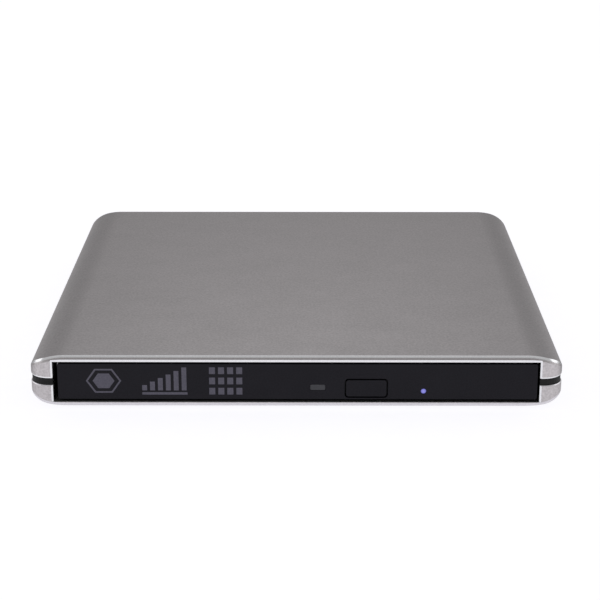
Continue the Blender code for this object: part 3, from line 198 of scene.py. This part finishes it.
LOOKS = {
    "blasted_aluminium": finish_material(
        "blasted_aluminium", (0.425, 0.405, 0.411), (0.59, 0.560, 0.570), (0.36, 0.48), 0.35 * MM, 0.006 * MM,
        metallic=1.0, patch=9 * MM,
    ),
    "polished_edge": finish_material(
        "polished_edge", (0.74, 0.74, 0.76), (0.82, 0.82, 0.84), (0.18, 0.28), 0.3 * MM, 0.0006 * MM,
        metallic=1.0,
    ),
    "satin_edge": finish_material(
        "satin_edge", (0.60, 0.585, 0.615), (0.70, 0.68, 0.715), (0.28, 0.38), 0.3 * MM, 0.002 * MM,
        metallic=1.0,
    ),
    # Aluminium for the inside of the case and the opening's walls past the flare, painted far darker than the
    # outside as painted shade.
    "shaded_inner_aluminium": finish_material(
        "shaded_inner_aluminium", (0.20, 0.20, 0.20), (0.28, 0.28, 0.28), (0.5, 0.65), 0.4 * MM, 0.004 * MM,
        metallic=1.0,
    ),
    "bezel_black": finish_material(
        "bezel_black", (0.0096, 0.0090, 0.0124), (0.0146, 0.0138, 0.0184), (0.36, 0.46), 0.25 * MM,
        0.002 * MM, specular=0.1,
    ),
    "band_black": finish_material(
        "band_black", (0.006, 0.006, 0.0065), (0.011, 0.011, 0.0115), (0.42, 0.52), 0.3 * MM, 0.004 * MM,
        specular=0.18,
    ),
    "tray_black": finish_material(
        "tray_black", (0.016, 0.016, 0.018), (0.024, 0.024, 0.026), (0.42, 0.55), 0.3 * MM, 0.005 * MM,
        specular=0.4,
    ),
    "acetal": finish_material(
        "acetal", (0.66, 0.65, 0.60), (0.76, 0.75, 0.70), (0.35, 0.45), 0.5 * MM, 0.002 * MM,
        extra={"Subsurface Weight": 0.15, "Subsurface Radius": (0.001, 0.001, 0.001)},
    ),
    "rubber": finish_material(
        "rubber", (0.016, 0.016, 0.017), (0.030, 0.030, 0.031), (0.7, 0.85), 0.25 * MM, 0.01 * MM,
        specular=0.35,
    ),
    "sheet_steel": finish_material(
        "sheet_steel", (0.50, 0.50, 0.50), (0.64, 0.64, 0.65), (0.30, 0.42), 0.5 * MM, 0.002 * MM,
        metallic=1.0, patch=4 * MM, patch_share=0.5, stretch=(1.0, 0.12, 1.0),
    ),
    "ground_steel": finish_material(
        "ground_steel", (0.70, 0.70, 0.71), (0.80, 0.80, 0.81), (0.12, 0.22), 0.2 * MM, 0.001 * MM,
        metallic=1.0,
    ),
    "screw_steel": finish_material(
        "screw_steel", (0.10, 0.10, 0.11), (0.18, 0.18, 0.19), (0.30, 0.42), 0.2 * MM, 0.002 * MM,
        metallic=1.0,
    ),
    "zinc": finish_material(
        "zinc", (0.38, 0.38, 0.39), (0.50, 0.50, 0.51), (0.48, 0.6), 0.35 * MM, 0.012 * MM,
        metallic=1.0,
    ),
    "connector": finish_material(
        "connector", (0.012, 0.012, 0.012), (0.02, 0.02, 0.02), (0.4, 0.55), 0.3 * MM, 0.004 * MM,
    ),
    "copper": finish_material(
        "copper", (0.60, 0.25, 0.11), (0.78, 0.38, 0.18), (0.25, 0.38), 0.15 * MM, 0.02 * MM,
        metallic=1.0, stretch=(1.0, 1.0, 6.0),
    ),
    "smoky_guide": finish_material(
        "smoky_guide", (0.047, 0.047, 0.053), (0.062, 0.062, 0.070), (0.25, 0.35), 0.4 * MM, 0.001 * MM,
        specular=0.2,
    ),
    "print_grey": finish_material(
        "print_grey", (0.082, 0.078, 0.103), (0.116, 0.111, 0.144), (0.5, 0.6), 0.2 * MM, 0.001 * MM,
        specular=0.2,
    ),
    "glass": finish_material(
        "glass", (0.10, 0.06, 0.16), (0.16, 0.10, 0.24), (0.02, 0.05), 0.5 * MM, 0.0002 * MM,
        specular=0.8, extra={"Coat Weight": 1.0, "Coat Roughness": 0.02},
    ),
    "floor": finish_material(
        "floor", (0.22, 0.22, 0.22), (0.24, 0.24, 0.24), (0.7, 0.8), 3 * MM, 0.01 * MM,
        specular=0.1, patch=60 * MM, extra={"Emission Color": (0.97, 0.965, 1.0, 1)},
    ),
}


def lamp_material():
    """A small lit lens: brightest in its middle."""
    made, tree, shader = new_material("blue_lamp")
    point = object_point(tree)
    low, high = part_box("status_light")
    middle = (low + high) / 2
    away = add_node(tree, "ShaderNodeVectorMath", {0: point, 1: middle}, operation="SUBTRACT")
    flat = add_node(
        tree, "ShaderNodeVectorMath", {0: away.outputs["Vector"], 1: (1, 0, 1)}, operation="MULTIPLY"
    )
    distance = add_node(tree, "ShaderNodeVectorMath", {0: flat.outputs["Vector"]}, operation="LENGTH")
    glow = remap(tree, distance.outputs["Value"], 1, 0, 0, (high.x - low.x) / 2)
    grain = noise(tree, point, 0.3 * MM)
    lit = blend_colours(tree, glow, (0.035, 0.035, 0.19), (0.25, 0.25, 0.70))
    socket(tree, shader.inputs["Base Color"], (0.05, 0.05, 0.2, 1))
    socket(tree, shader.inputs["Emission Color"], lit)
    socket(tree, shader.inputs["Emission Strength"], remap(tree, grain, 0.92, 1.05))
    socket(tree, shader.inputs["Roughness"], 0.25)
    return made


def board_material():
    """Green solder mask with paler tracks, gold pads and a fine glass weave."""
    made, tree, shader = new_material("circuit_board")
    point = object_point(tree)
    cells = add_node(
        tree, "ShaderNodeTexBrick",
        {
            "Vector": point, "Color1": (0, 0, 0, 1), "Color2": (0.15, 0.15, 0.15, 1), "Mortar": (1, 1, 1, 1),
            "Scale": 1 / (9 * MM), "Mortar Size": 0.018, "Mortar Smooth": 0.1, "Brick Width": 0.9,
            "Row Height": 0.16,
        },
        offset=0.37,
    )
    dots = add_node(
        tree, "ShaderNodeTexVoronoi", {"Vector": point, "Scale": 1 / (2.4 * MM), "Randomness": 0.8},
        feature="F1",
    )
    pad = add_node(
        tree, "ShaderNodeMath", {0: dots.outputs["Distance"], 1: 0.17}, operation="LESS_THAN"
    ).outputs["Value"]
    weave = noise(tree, point, 0.3 * MM)
    mask = blend_colours(tree, cells.outputs["Color"], (0.006, 0.055, 0.022), (0.016, 0.115, 0.045))
    mask = blend_colours(tree, remap(tree, weave, 0, 0.35), mask, (0.02, 0.10, 0.05))
    socket(tree, shader.inputs["Base Color"], blend_colours(tree, pad, mask, (0.75, 0.56, 0.24)))
    socket(tree, shader.inputs["Metallic"], pad)
    socket(tree, shader.inputs["Roughness"], remap(tree, weave, 0.28, 0.42))
    relief = add_node(tree, "ShaderNodeMath", {0: cells.outputs["Color"], 1: weave}, operation="ADD")
    socket(tree, shader.inputs["Normal"], bump(tree, relief.outputs["Value"], 0.01 * MM))
    return made


def ribbon_material():
    """Flat cable: pale film over parallel conductors that run with the cable."""
    made, tree, shader = new_material("ribbon")
    point = object_point(tree)
    split = add_node(tree, "ShaderNodeSeparateXYZ", {"Vector": point})
    across = add_node(
        tree, "ShaderNodeMath", {0: split.outputs["X"], 1: 2 * math.pi / (0.75 * MM)}, operation="MULTIPLY"
    )
    wave = add_node(tree, "ShaderNodeMath", {0: across.outputs["Value"]}, operation="SINE").outputs["Value"]
    stripe = remap(tree, wave, 0, 1, -0.2, 0.2)
    scuff = noise(tree, point, 0.8 * MM)
    film = blend_colours(tree, remap(tree, scuff, 0, 1), (0.52, 0.50, 0.45), (0.62, 0.60, 0.55))
    socket(tree, shader.inputs["Base Color"], blend_colours(tree, stripe, film, (0.30, 0.27, 0.22)))
    socket(tree, shader.inputs["Roughness"], remap(tree, scuff, 0.3, 0.45))
    socket(tree, shader.inputs["Normal"], bump(tree, stripe, 0.02 * MM))
    return made


LOOKS["blue_lamp"] = lamp_material()
LOOKS["circuit_board"] = board_material()
LOOKS["ribbon"] = ribbon_material()

SLOT_LOOKS = {
    "case_aluminium": "blasted_aluminium",
    "black_plastic": "bezel_black",
    "tray_plastic": "tray_black",
    "pale_plastic": "acetal",
    "rubber": "rubber",
    "sheet_steel": "sheet_steel",
    "bright_steel": "ground_steel",
    "screw_steel": "screw_steel",
    "die_cast_zinc": "zinc",
    "circuit_board": "circuit_board",
    "connector_black": "connector",
    "wound_copper": "copper",
    "light_guide": "smoky_guide",
    "blue_lamp": "blue_lamp",
    "lens_glass": "glass",
    "ribbon": "ribbon",
}


# ---------------------------------------------------------------- CAD nodes: edges and finishes

# Edge width in millimetres where a node doesn't take the usual one.
EDGE_WIDTH = {"bezel": 0.12, "eject_button": 0.18, "activity_window": 0.1, "mid_frame": 0.12, "tray": 0.15}
EDGE_FEET = 0.35
EDGE_USUAL = 0.1


def soften(piece, width):
    """Merges the facets of a CAD mesh into whole faces and gives its sharp edges a small bevel."""
    weld = piece.modifiers.new("weld", "WELD")
    weld.merge_threshold = MERGE
    flat = piece.modifiers.new("flat", "DECIMATE")
    flat.decimate_type = "DISSOLVE"
    flat.angle_limit = math.radians(0.5)
    edge = piece.modifiers.new("edge", "BEVEL")
    edge.width = width
    edge.segments = 2
    edge.limit_method = "ANGLE"
    edge.angle_limit = math.radians(38)
    edge.use_clamp_overlap = True
    edge.harden_normals = False
    normals = piece.modifiers.new("normals", "WEIGHTED_NORMAL")
    normals.keep_sharp = True
    normals.weight = 60


def dress_cad_nodes():
    slots = {part["node"]: part["material_slot"] for part in frame["record"]["subparts"]}
    for name, node in NODES.items():
        look = LOOKS[SLOT_LOOKS[slots[name]]]
        if name == "mid_frame":
            look = LOOKS["band_black"]
        for i in range(len(node.data.materials)):
            node.material_slots[i].link = "OBJECT"
            node.material_slots[i].material = look
        width = EDGE_FEET if name.startswith("foot_") else EDGE_WIDTH.get(name, EDGE_USUAL)
        soften(node, width * MM)


# ---------------------------------------------------------------- meshes


def mesh_object(name, points, faces, looks, face_looks=None):
    mesh = bpy.data.meshes.new(name)
    mesh.from_pydata(points, [], faces)
    for look in looks:
        mesh.materials.append(look)
    if face_looks:
        mesh.polygons.foreach_set("material_index", face_looks)
    mesh.update()
    made = bpy.data.objects.new(name, mesh)
    bpy.context.scene.collection.objects.link(made)
    return made


def face_outwards(mesh, merge=0.0):
    """Turns every face of a closed mesh outwards, after merging its coincident points."""
    shape = bmesh.new()
    shape.from_mesh(mesh)
    bmesh.ops.remove_doubles(shape, verts=shape.verts, dist=merge)
    bmesh.ops.recalc_face_normals(shape, faces=shape.faces)
    shape.to_mesh(mesh)
    shape.free()


def boolean(target, operation, tool):
    face_outwards(tool.data)
    step = target.modifiers.new("step", "BOOLEAN")
    step.operation = operation
    step.object = tool
    step.solver = "EXACT"
    step.material_mode = "TRANSFER"
    bpy.context.view_layer.update()
    graph = bpy.context.evaluated_depsgraph_get()
    mesh = bpy.data.meshes.new_from_object(target.evaluated_get(graph))
    target.modifiers.clear()
    target.data = mesh
    bpy.data.objects.remove(tool)


def box_tool(x, y, z, look):
    points = [(a, b, c) for a in x for b in y for c in z]
    faces = [(0, 1, 3, 2), (4, 6, 7, 5), (0, 4, 5, 1), (2, 3, 7, 6), (0, 2, 6, 4), (1, 5, 7, 3)]
    return mesh_object("tool", points, faces, [look])


def rod_tool(x, y, radius, low, high, look, steps=32):
    ring = [(x + radius * math.cos(2 * math.pi * i / steps), y + radius * math.sin(2 * math.pi * i / steps))
            for i in range(steps)]
    points = [(a, b, low) for a, b in ring] + [(a, b, high) for a, b in ring]
    faces = [(i, (i + 1) % steps, steps + (i + 1) % steps, steps + i) for i in range(steps)]
    faces += [tuple(range(steps - 1, -1, -1)), tuple(range(steps, 2 * steps))]
    return mesh_object("tool", points, faces, [look])


def opening_tool(looks):
    """The bezel's opening, with a shallow flare where it meets the front face."""
    out = 0.8 * MM
    levels = (
        (CASE_FRONT - out, (FLARE_DEPTH + out) / FLARE_DEPTH),
        (CASE_FRONT + FLARE_DEPTH, 0),
        (CASE_FRONT + FRONT_WALL + MM, 0),
    )
    points, faces, face_looks = [], [], []
    for y, grow in levels:
        x = OPENING_HALF + FLARE_SIDE * grow
        low, high = OPENING_LOW - FLARE_LOW * grow, OPENING_HIGH + FLARE_HIGH * grow
        points += [(-x, y, low), (x, y, low), (x, y, high), (-x, y, high)]
    # The flare takes the first look; the straight walls behind it take the second, the darker inner look that
    # paints shade into the opening.
    for level in (0, 4):
        for i in range(4):
            faces.append((level + i, level + 4 + i, level + 4 + (i + 1) % 4, level + (i + 1) % 4))
            face_looks.append(0 if level == 0 else 1)
    faces += [(0, 1, 2, 3), (11, 10, 9, 8)]
    face_looks += [1, 1]
    return mesh_object("tool", points, faces, looks, face_looks)


def panel_tool(look):
    """The opening in the back wall for the port panel."""
    x, z, radius, steps = PANEL_X, PANEL_Z, PANEL_RADIUS, 6
    ring = []
    corners = ((x[1] - radius, z[0] + radius, -90), (x[1] - radius, z[1] - radius, 0),
               (x[0] + radius, z[1] - radius, 90), (x[0] + radius, z[0] + radius, 180))
    for cx, cz, start in corners:
        for i in range(steps + 1):
            turn = math.radians(start + 90 * i / steps)
            ring.append((cx + radius * math.cos(turn), cz + radius * math.sin(turn)))
    count = len(ring)
    points = [(a, CASE_BACK - 2.6 * MM, c) for a, c in ring] + [(a, CASE_BACK + MM, c) for a, c in ring]
    faces = [(i, (i + 1) % count, count + (i + 1) % count, count + i) for i in range(count)]
    faces += [tuple(range(count - 1, -1, -1)), tuple(range(count, 2 * count))]
    return mesh_object("tool", points, faces, [look])


# ---------------------------------------------------------------- case skins

CORNER_STEPS = 12
SMALLEST_CORNER = 0.25 * MM
# Stations along half of a long side and half of a short one, as shares; they crowd where the roll begins.
LONG_SHARES = (0.0, 0.35, 0.65, 0.82, 0.89, 0.915, 0.93, 0.945, 0.96, 0.972, 0.984, 0.993)
SIDE_SHARES = (0.0, 0.5, 0.85, 0.96)
ROLL_RINGS = 24
# The crease's strength never falls below the first, and swells by the second where it starts to fade.
CREASE_LEAST, CREASE_SWELL = 0.03, 1.6

BOSS_TOP, BOSS_BOTTOM = 2.2 * MM, 2.8 * MM
BORE_TOP, BORE_BOTTOM, SCREW_HEAD = 0.95 * MM, 1.1 * MM, 2.1 * MM
FOOT_SEAT = 5.2 * MM
BOARD_POST_X, BOARD_POST_HALF, BOARD_POST_FRONT, BOARD_POST_TOP = 28 * MM, 2 * MM, 67 * MM, 4.5 * MM


def plan_stations():
    """Places round the plan: a corner or side with its share, outward direction and crease strength."""
    stations = []
    for quarter in range(4):
        turn = math.radians(90 * quarter)
        for i in range(CORNER_STEPS + 1):
            angle = turn + math.radians(90 * i / CORNER_STEPS)
            stations.append(("corner", quarter, angle))
        shares = LONG_SHARES if quarter % 2 == 0 else SIDE_SHARES
        run = [-s for s in shares[:0:-1]] + list(shares)
        for share in run:
            stations.append(("side", quarter, share))
    return stations


def plan_point(station, inset, half_x, front, back, radius):
    """Where a station lies on the plan held inset from the outline."""
    kind, quarter, value = station
    corner = max(radius - inset, SMALLEST_CORNER)
    middle_y, half_y = (front + back) / 2, (back - front) / 2
    reach_x, reach_y = half_x - inset, half_y - inset
    cx, cy = reach_x - corner, reach_y - corner
    if kind == "corner":
        sign_x = 1 if quarter in (0, 3) else -1
        sign_y = 1 if quarter in (0, 1) else -1
        return (sign_x * cx + corner * math.cos(value), middle_y + sign_y * cy + corner * math.sin(value))
    if quarter == 0:
        return (-value * cx, middle_y + reach_y)
    if quarter == 1:
        return (-reach_x, middle_y - value * cy)
    if quarter == 2:
        return (value * cx, middle_y - reach_y)
    return (reach_x, middle_y + value * cy)


def outward(station):
    """The direction away from the plan at a station."""
    kind, quarter, value = station
    angle = value if kind == "corner" else math.radians(90 * (quarter + 1))
    return Vector((math.cos(angle), math.sin(angle)))


def roll_drop(x, half_x, across, down):
    """How far the section's elliptical corner has dropped at x."""
    past = max(0.0, abs(x) - (half_x - across)) / across
    return down * (1 - math.sqrt(max(0.0, 1 - min(1.0, past) ** 2)))


def roll_lean(x, half_x, across, down):
    """How far the section's outward direction leans sideways at x, from -1 to 1."""
    past = min(0.9999, max(0.0, abs(x) - (half_x - across)) / across)
    slope = down / across * past / math.sqrt(1 - past ** 2)
    return math.copysign(slope, x) / math.hypot(slope, 1)


def shell_form(name, lip, half_x, front, back, radius, crown, base, across, down, looks):
    """A closed solid from a flat base edge to a rolled crown; crown below base turns it upside down.

    The lip's crease is full along the front and back and fades to nothing on the sides.
    """
    up = 1 if crown > base else -1
    stations = plan_stations()
    strengths = []
    for station in stations:
        x, _ = plan_point(station, 0, half_x, front, back, radius)
        crease = 1 - abs(outward(station).x * roll_lean(x, half_x, across, down))
        strengths.append(max(CREASE_LEAST, crease * (1 + CREASE_SWELL * (1 - crease))))
    edge_in, edge_up = BAND_EDGE["up" if up > 0 else "down"]
    rings = [("edge", edge_in, 0.0), ("edge", 0.0, edge_up)]
    rings += [("lip", inset * MM, drop * MM) for inset, drop in lip]
    rings += [("roll", k / ROLL_RINGS, 0.0) for k in range(1, ROLL_RINGS + 1)]
    points = []
    for kind, first, second in rings:
        for station, strength in zip(stations, strengths):
            start = lip[-1][0] * MM * strength
            if kind == "edge":
                x, y = plan_point(station, first, half_x, front, back, radius)
                z = base + up * second
            else:
                inset = first * strength if kind == "lip" else start + (across - start) * first ** 2
                drop = second * strength if kind == "lip" else 0.0
                x, y = plan_point(station, inset, half_x, front, back, radius)
                z = crown - up * (roll_drop(x, half_x, across, down) + drop)
            points.append((x, y, z))
    count = len(stations)
    faces, face_looks = [], []
    polished = {0, 3} if up > 0 else {0, 2, 3, 4}
    for level in range(len(rings) - 1):
        for i in range(count):
            j = (i + 1) % count
            face = (level * count + i, level * count + j, (level + 1) * count + j, (level + 1) * count + i)
            faces.append(face if up > 0 else face[::-1])
            face_looks.append(1 if level in polished and len(looks) > 1 else 0)
    last = (len(rings) - 1) * count
    cap, foot = tuple(range(last, last + count)), tuple(range(count - 1, -1, -1))
    faces += [cap, foot] if up > 0 else [cap[::-1], foot[::-1]]
    face_looks += [0, 0]
    made = mesh_object(name, points, faces, looks, face_looks)
    face_outwards(made.data, MERGE)
    return made


def hollow_form(crown, base, corner_down):
    """The space inside a shell."""
    roof = ROOF if crown > base else FLOOR
    inner = crown - math.copysign(roof, crown - base)
    # The hollow gives the shell's inside faces the darker inner look, which is painted shade.
    return shell_form(
        "tool", ((0.0, 0.0), (0.3, 0.0)), HALF_WIDTH - WALL, CASE_FRONT + FRONT_WALL, CASE_BACK - WALL,
        PLAN_RADIUS - WALL, inner, base, CORNER_ACROSS - WALL, corner_down - ROOF, [LOOKS["shaded_inner_aluminium"]],
    )


def smooth_normals(piece, sharp_degrees):
    piece.data.shade_smooth()
    piece.data.set_sharp_from_angle(angle=math.radians(sharp_degrees))
    normals = piece.modifiers.new("normals", "WEIGHTED_NORMAL")
    normals.keep_sharp = True
    normals.weight = 70


def screw_places():
    places = []
    for name in ("case_screw_left", "case_screw_right"):
        low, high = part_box(name)
        places.append(((low.x + high.x) / 2, (low.y + high.y) / 2))
    return places


def make_top_skin():
    looks = [LOOKS["blasted_aluminium"], LOOKS["polished_edge"]]
    # inner is the darker inside look: painted shade for the hollow, the opening's walls, the panel cut and
    # the bosses.
    inner = LOOKS["shaded_inner_aluminium"]
    skin = shell_form(
        "top_shell_skin", TOP_LIP, HALF_WIDTH, CASE_FRONT, CASE_BACK, PLAN_RADIUS, CASE_TOP, TOP_LOW.z,
        CORNER_ACROSS, TOP_CORNER_DOWN, looks,
    )
    boolean(skin, "DIFFERENCE", hollow_form(CASE_TOP, TOP_LOW.z - MM, TOP_CORNER_DOWN))
    boolean(skin, "DIFFERENCE", opening_tool([LOOKS["polished_edge"], inner]))
    boolean(skin, "DIFFERENCE", panel_tool(inner))
    for x, y in screw_places():
        boolean(skin, "UNION", rod_tool(x, y, BOSS_TOP, TOP_LOW.z + 0.3 * MM, CASE_TOP - MM, inner))
        boolean(skin, "DIFFERENCE", rod_tool(x, y, BORE_TOP, TOP_LOW.z - MM, CASE_TOP - 2.5 * MM, inner))
    smooth_normals(skin, 16)
    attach(skin, "case")
    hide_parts("top_shell")


def make_bottom_skin():
    looks = [LOOKS["blasted_aluminium"], LOOKS["satin_edge"]]
    # inner is the darker inside look: painted shade for the hollow, the opening's walls, the panel cut,
    # bosses, screw recesses, posts and foot seats.
    inner = LOOKS["shaded_inner_aluminium"]
    skin = shell_form(
        "bottom_shell_skin", BOTTOM_LIP, HALF_WIDTH, CASE_FRONT, CASE_BACK, PLAN_RADIUS, CASE_BOTTOM,
        BOTTOM_HIGH.z, CORNER_ACROSS, BOTTOM_CORNER_DOWN, looks,
    )
    boolean(skin, "DIFFERENCE", hollow_form(CASE_BOTTOM, BOTTOM_HIGH.z + MM, BOTTOM_CORNER_DOWN))
    boolean(skin, "DIFFERENCE", opening_tool([LOOKS["polished_edge"], inner]))
    boolean(skin, "DIFFERENCE", panel_tool(inner))
    for x, y in screw_places():
        low, high = CASE_BOTTOM + 0.5 * MM, BOTTOM_HIGH.z - 0.3 * MM
        boolean(skin, "UNION", rod_tool(x, y, BOSS_BOTTOM, low, high, inner))
        boolean(skin, "DIFFERENCE", rod_tool(x, y, SCREW_HEAD, 0, CASE_BOTTOM + 1.4 * MM, inner))
        boolean(skin, "DIFFERENCE", rod_tool(x, y, BORE_BOTTOM, 0, BOTTOM_HIGH.z + MM, inner))
        post_x = math.copysign(BOARD_POST_X, x)
        post_width = (post_x - BOARD_POST_HALF, post_x + BOARD_POST_HALF)
        post = box_tool(post_width, (BOARD_POST_FRONT, CASE_BACK - MM), (low, BOARD_POST_TOP), inner)
        boolean(skin, "UNION", post)
    for name in NODES:
        if name.startswith("foot_"):
            low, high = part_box(name)
            middle = (low + high) / 2
            seat = rod_tool(middle.x, middle.y, FOOT_SEAT, 0, CASE_BOTTOM + 0.4 * MM, inner, steps=48)
            boolean(skin, "DIFFERENCE", seat)
    smooth_normals(skin, 16)
    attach(skin, "case")
    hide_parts("bottom_shell")


# ---------------------------------------------------------------- printed marks


PRINT_STAND = 0.012 * MM
PRINT_DEPTH = 0.02 * MM


def print_shapes(name, outlines):
    """Thin printed shapes on the bezel's face. Each outline is (points, hole points or None) in x and z."""
    low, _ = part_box("bezel")
    face = low.y - PRINT_STAND
    shape = bmesh.new()
    for edge, hole in outlines:
        count = len(edge)
        for ring in (edge, hole):
            if ring is None:
                continue
            for y in (face, face + PRINT_DEPTH):
                for x, z in ring:
                    shape.verts.new((x, y, z))
        shape.verts.ensure_lookup_table()
        verts = shape.verts[-count * (4 if hole else 2):]
        front, back, hole_front, hole_back = (verts[k * count:(k + 1) * count] for k in range(4))
        for i in range(count):
            j = (i + 1) % count
            shape.faces.new((front[i], front[j], back[j], back[i]))
            if hole:
                shape.faces.new((hole_front[j], hole_front[i], hole_back[i], hole_back[j]))
                shape.faces.new((front[j], front[i], hole_front[i], hole_front[j]))
                shape.faces.new((back[i], back[j], hole_back[j], hole_back[i]))
        if not hole:
            shape.faces.new(front[::-1])
            shape.faces.new(back)
    bmesh.ops.recalc_face_normals(shape, faces=shape.faces)
    mesh = bpy.data.meshes.new(name)
    shape.to_mesh(mesh)
    shape.free()
    mesh.materials.append(LOOKS["print_grey"])
    made = bpy.data.objects.new(name, mesh)
    bpy.context.scene.collection.objects.link(made)
    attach(made, "disc_tray")


def hexagon(x, z, radius_x, radius_z):
    turns = [math.radians(60 * i) for i in range(6)]
    return [(x + radius_x * math.cos(turn), z + radius_z * math.sin(turn)) for turn in turns]


def bar(x, z):
    return [(x[0], z[0]), (x[1], z[0]), (x[1], z[1]), (x[0], z[1])]


MARK_HEIGHT = 8.1 * MM
HEXAGON_X, BARS_X, GRID_X = -51.1 * MM, -34.9 * MM, -18.7 * MM


def make_marks():
    """Three plain marks in the places of the printed ones: a hexagon, rising bars and a grid."""
    x, z = HEXAGON_X, MARK_HEIGHT
    print_shapes("mark_hexagon", [
        (hexagon(x, z, 4.7 * MM, 3.9 * MM), hexagon(x, z, 4.15 * MM, 3.4 * MM)),
        (hexagon(x, z, 2.9 * MM, 2.4 * MM), None),
    ])
    x = BARS_X
    bars = [(bar((x - 6 * MM, x + 6 * MM), (z - 3.9 * MM, z - 3.2 * MM)), None)]
    for i in range(6):
        left = x + (-6 + 2.1 * i) * MM
        bars.append((bar((left, left + 1.3 * MM), (z - 2.7 * MM, z + (-1.2 + 1.0 * i) * MM)), None))
    print_shapes("mark_bars", bars)
    x = GRID_X
    squares = []
    for i in range(4):
        for j in range(3):
            cx, cz = x + (i - 1.5) * 2.4 * MM, z + (j - 1) * 2.9 * MM
            squares.append((bar((cx - 0.8 * MM, cx + 0.8 * MM), (cz - 0.95 * MM, cz + 0.95 * MM)), None))
    print_shapes("mark_grid", squares)


# ---------------------------------------------------------------- ribbon cable


def make_ribbon():
    """The cable's own copy, with its points merged, the ribbon finish and smooth shading."""
    source = NODES["ribbon_cable"]
    shape = bmesh.new()
    shape.from_mesh(source.data)
    bmesh.ops.remove_doubles(shape, verts=shape.verts, dist=MERGE)
    mesh = bpy.data.meshes.new("ribbon_strip")
    shape.to_mesh(mesh)
    shape.free()
    mesh.materials.clear()
    mesh.materials.append(LOOKS["ribbon"])
    mesh.shade_smooth()
    mesh.set_sharp_from_angle(angle=math.radians(40))
    strip = bpy.data.objects.new("ribbon_strip", mesh)
    bpy.context.scene.collection.objects.link(strip)
    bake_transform(strip)
    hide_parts("ribbon_cable")


# ---------------------------------------------------------------- studio


FLOOR_HALF = 4.0
FLOOR_GLOW = 0.9
FAR_FLOOR_GLOW = 0.2
# Tones of the surroundings by height, from level to overhead, behind the object and before it.
BEHIND_TONES = ((0.0, 0.22), (0.2, 0.07), (0.35, 0.03), (0.5, 0.45), (0.62, 0.5), (0.75, 0.4), (1.0, 0.3))
BEFORE_TONES = ((0.0, 0.16), (0.45, 0.20), (0.68, 0.62), (1.0, 0.7))
SIDE_TONE = (0.55, 0.55, 0.55)
SEEN_TONE = (0.9, 0.9, 0.91)


def make_floor():
    """A pale floor. Its reflection is darker beside and behind the object than in front of it."""
    size = FLOOR_HALF
    points = [(-size, -size, 0), (size, -size, 0), (size, size, 0), (-size, size, 0)]
    floor = mesh_object("floor", points, [(0, 1, 2, 3)], [LOOKS["floor"]])
    tree = LOOKS["floor"].node_tree
    along = add_node(tree, "ShaderNodeSeparateXYZ", {"Vector": object_point(tree)}).outputs["Y"]
    glow = remap(tree, along, FLOOR_GLOW, FAR_FLOOR_GLOW, CASE_FRONT, CASE_FRONT + 30 * MM)
    seen = add_node(tree, "ShaderNodeLightPath").outputs["Is Camera Ray"]
    strength = blend_values(tree, seen, glow, FLOOR_GLOW)
    socket(tree, tree.nodes["Principled BSDF"].inputs["Emission Strength"], strength)


def make_surroundings():
    """A soft studio: a pale band high behind, grey low down and brighter sides. The camera sees it pale."""
    world = bpy.data.worlds.new("studio")
    bpy.context.scene.world = world
    world.use_nodes = True
    tree = world.node_tree
    point = add_node(tree, "ShaderNodeTexCoord").outputs["Generated"]
    split = add_node(tree, "ShaderNodeSeparateXYZ", {"Vector": point})
    ramps = []
    for stops in (BEHIND_TONES, BEFORE_TONES):
        ramp = add_node(tree, "ShaderNodeValToRGB", {"Fac": split.outputs["Z"]})
        elements = ramp.color_ramp.elements
        while len(elements) > 1:
            elements.remove(elements[-1])
        for i, (place, tone) in enumerate(stops):
            stop = elements[0] if i == 0 else elements.new(place)
            stop.position = place
            stop.color = (tone, tone, tone, 1)
        ramps.append(ramp.outputs["Color"])
    behind, before = ramps
    tone = blend_colours(tree, remap(tree, split.outputs["Y"], 0, 1, -0.25, 0.25), before, behind)
    aside = add_node(tree, "ShaderNodeMath", {0: split.outputs["X"]}, operation="ABSOLUTE")
    tone = blend_colours(tree, remap(tree, aside.outputs["Value"], 0, 1, 0.1, 0.65), tone, SIDE_TONE)
    seen = add_node(tree, "ShaderNodeLightPath").outputs["Is Camera Ray"]
    tone = blend_colours(tree, seen, tone, SEEN_TONE)
    background = tree.nodes["Background"]
    socket(tree, background.inputs["Color"], tone)
    socket(tree, background.inputs["Strength"], 1.0)


def area_light(name, place, aim, size, power):
    data = bpy.data.lights.new(name, "AREA")
    data.shape = "RECTANGLE"
    data.size, data.size_y = size
    data.energy = power
    made = bpy.data.objects.new(name, data)
    bpy.context.scene.collection.objects.link(made)
    made.location = place
    made.rotation_euler = (Vector(aim) - Vector(place)).to_track_quat("-Z", "Y").to_euler()


CAMERA_PLACE = (2.5 * MM, -489.2 * MM, 168.1 * MM)
CAMERA_PITCH = 18.23
CAMERA_YAW = 0.206
CAMERA_LENS = 101.0


def make_camera():
    data = bpy.data.cameras.new("camera")
    data.lens = CAMERA_LENS
    data.sensor_width = 36
    data.clip_start, data.clip_end = 0.01, 20
    camera = bpy.data.objects.new("camera", data)
    bpy.context.scene.collection.objects.link(camera)
    camera.location = CAMERA_PLACE
    camera.rotation_euler = (math.radians(90 - CAMERA_PITCH), 0, math.radians(CAMERA_YAW))
    bpy.context.scene.camera = camera


dress_cad_nodes()
make_top_skin()
make_bottom_skin()
make_marks()
make_ribbon()
make_floor()
make_surroundings()
area_light("behind", (0, 0.62, 0.5), (0, -0.02, 0.01), (0.34, 0.3), 0.26)
for side in (-1, 1):
    area_light("side", (side * 0.8, 0.1, 0.32), (side * 0.06, -0.06, 0.01), (0.7, 0.5), 0.95)
make_camera()
bpy.context.scene.view_settings.view_transform = "Standard"
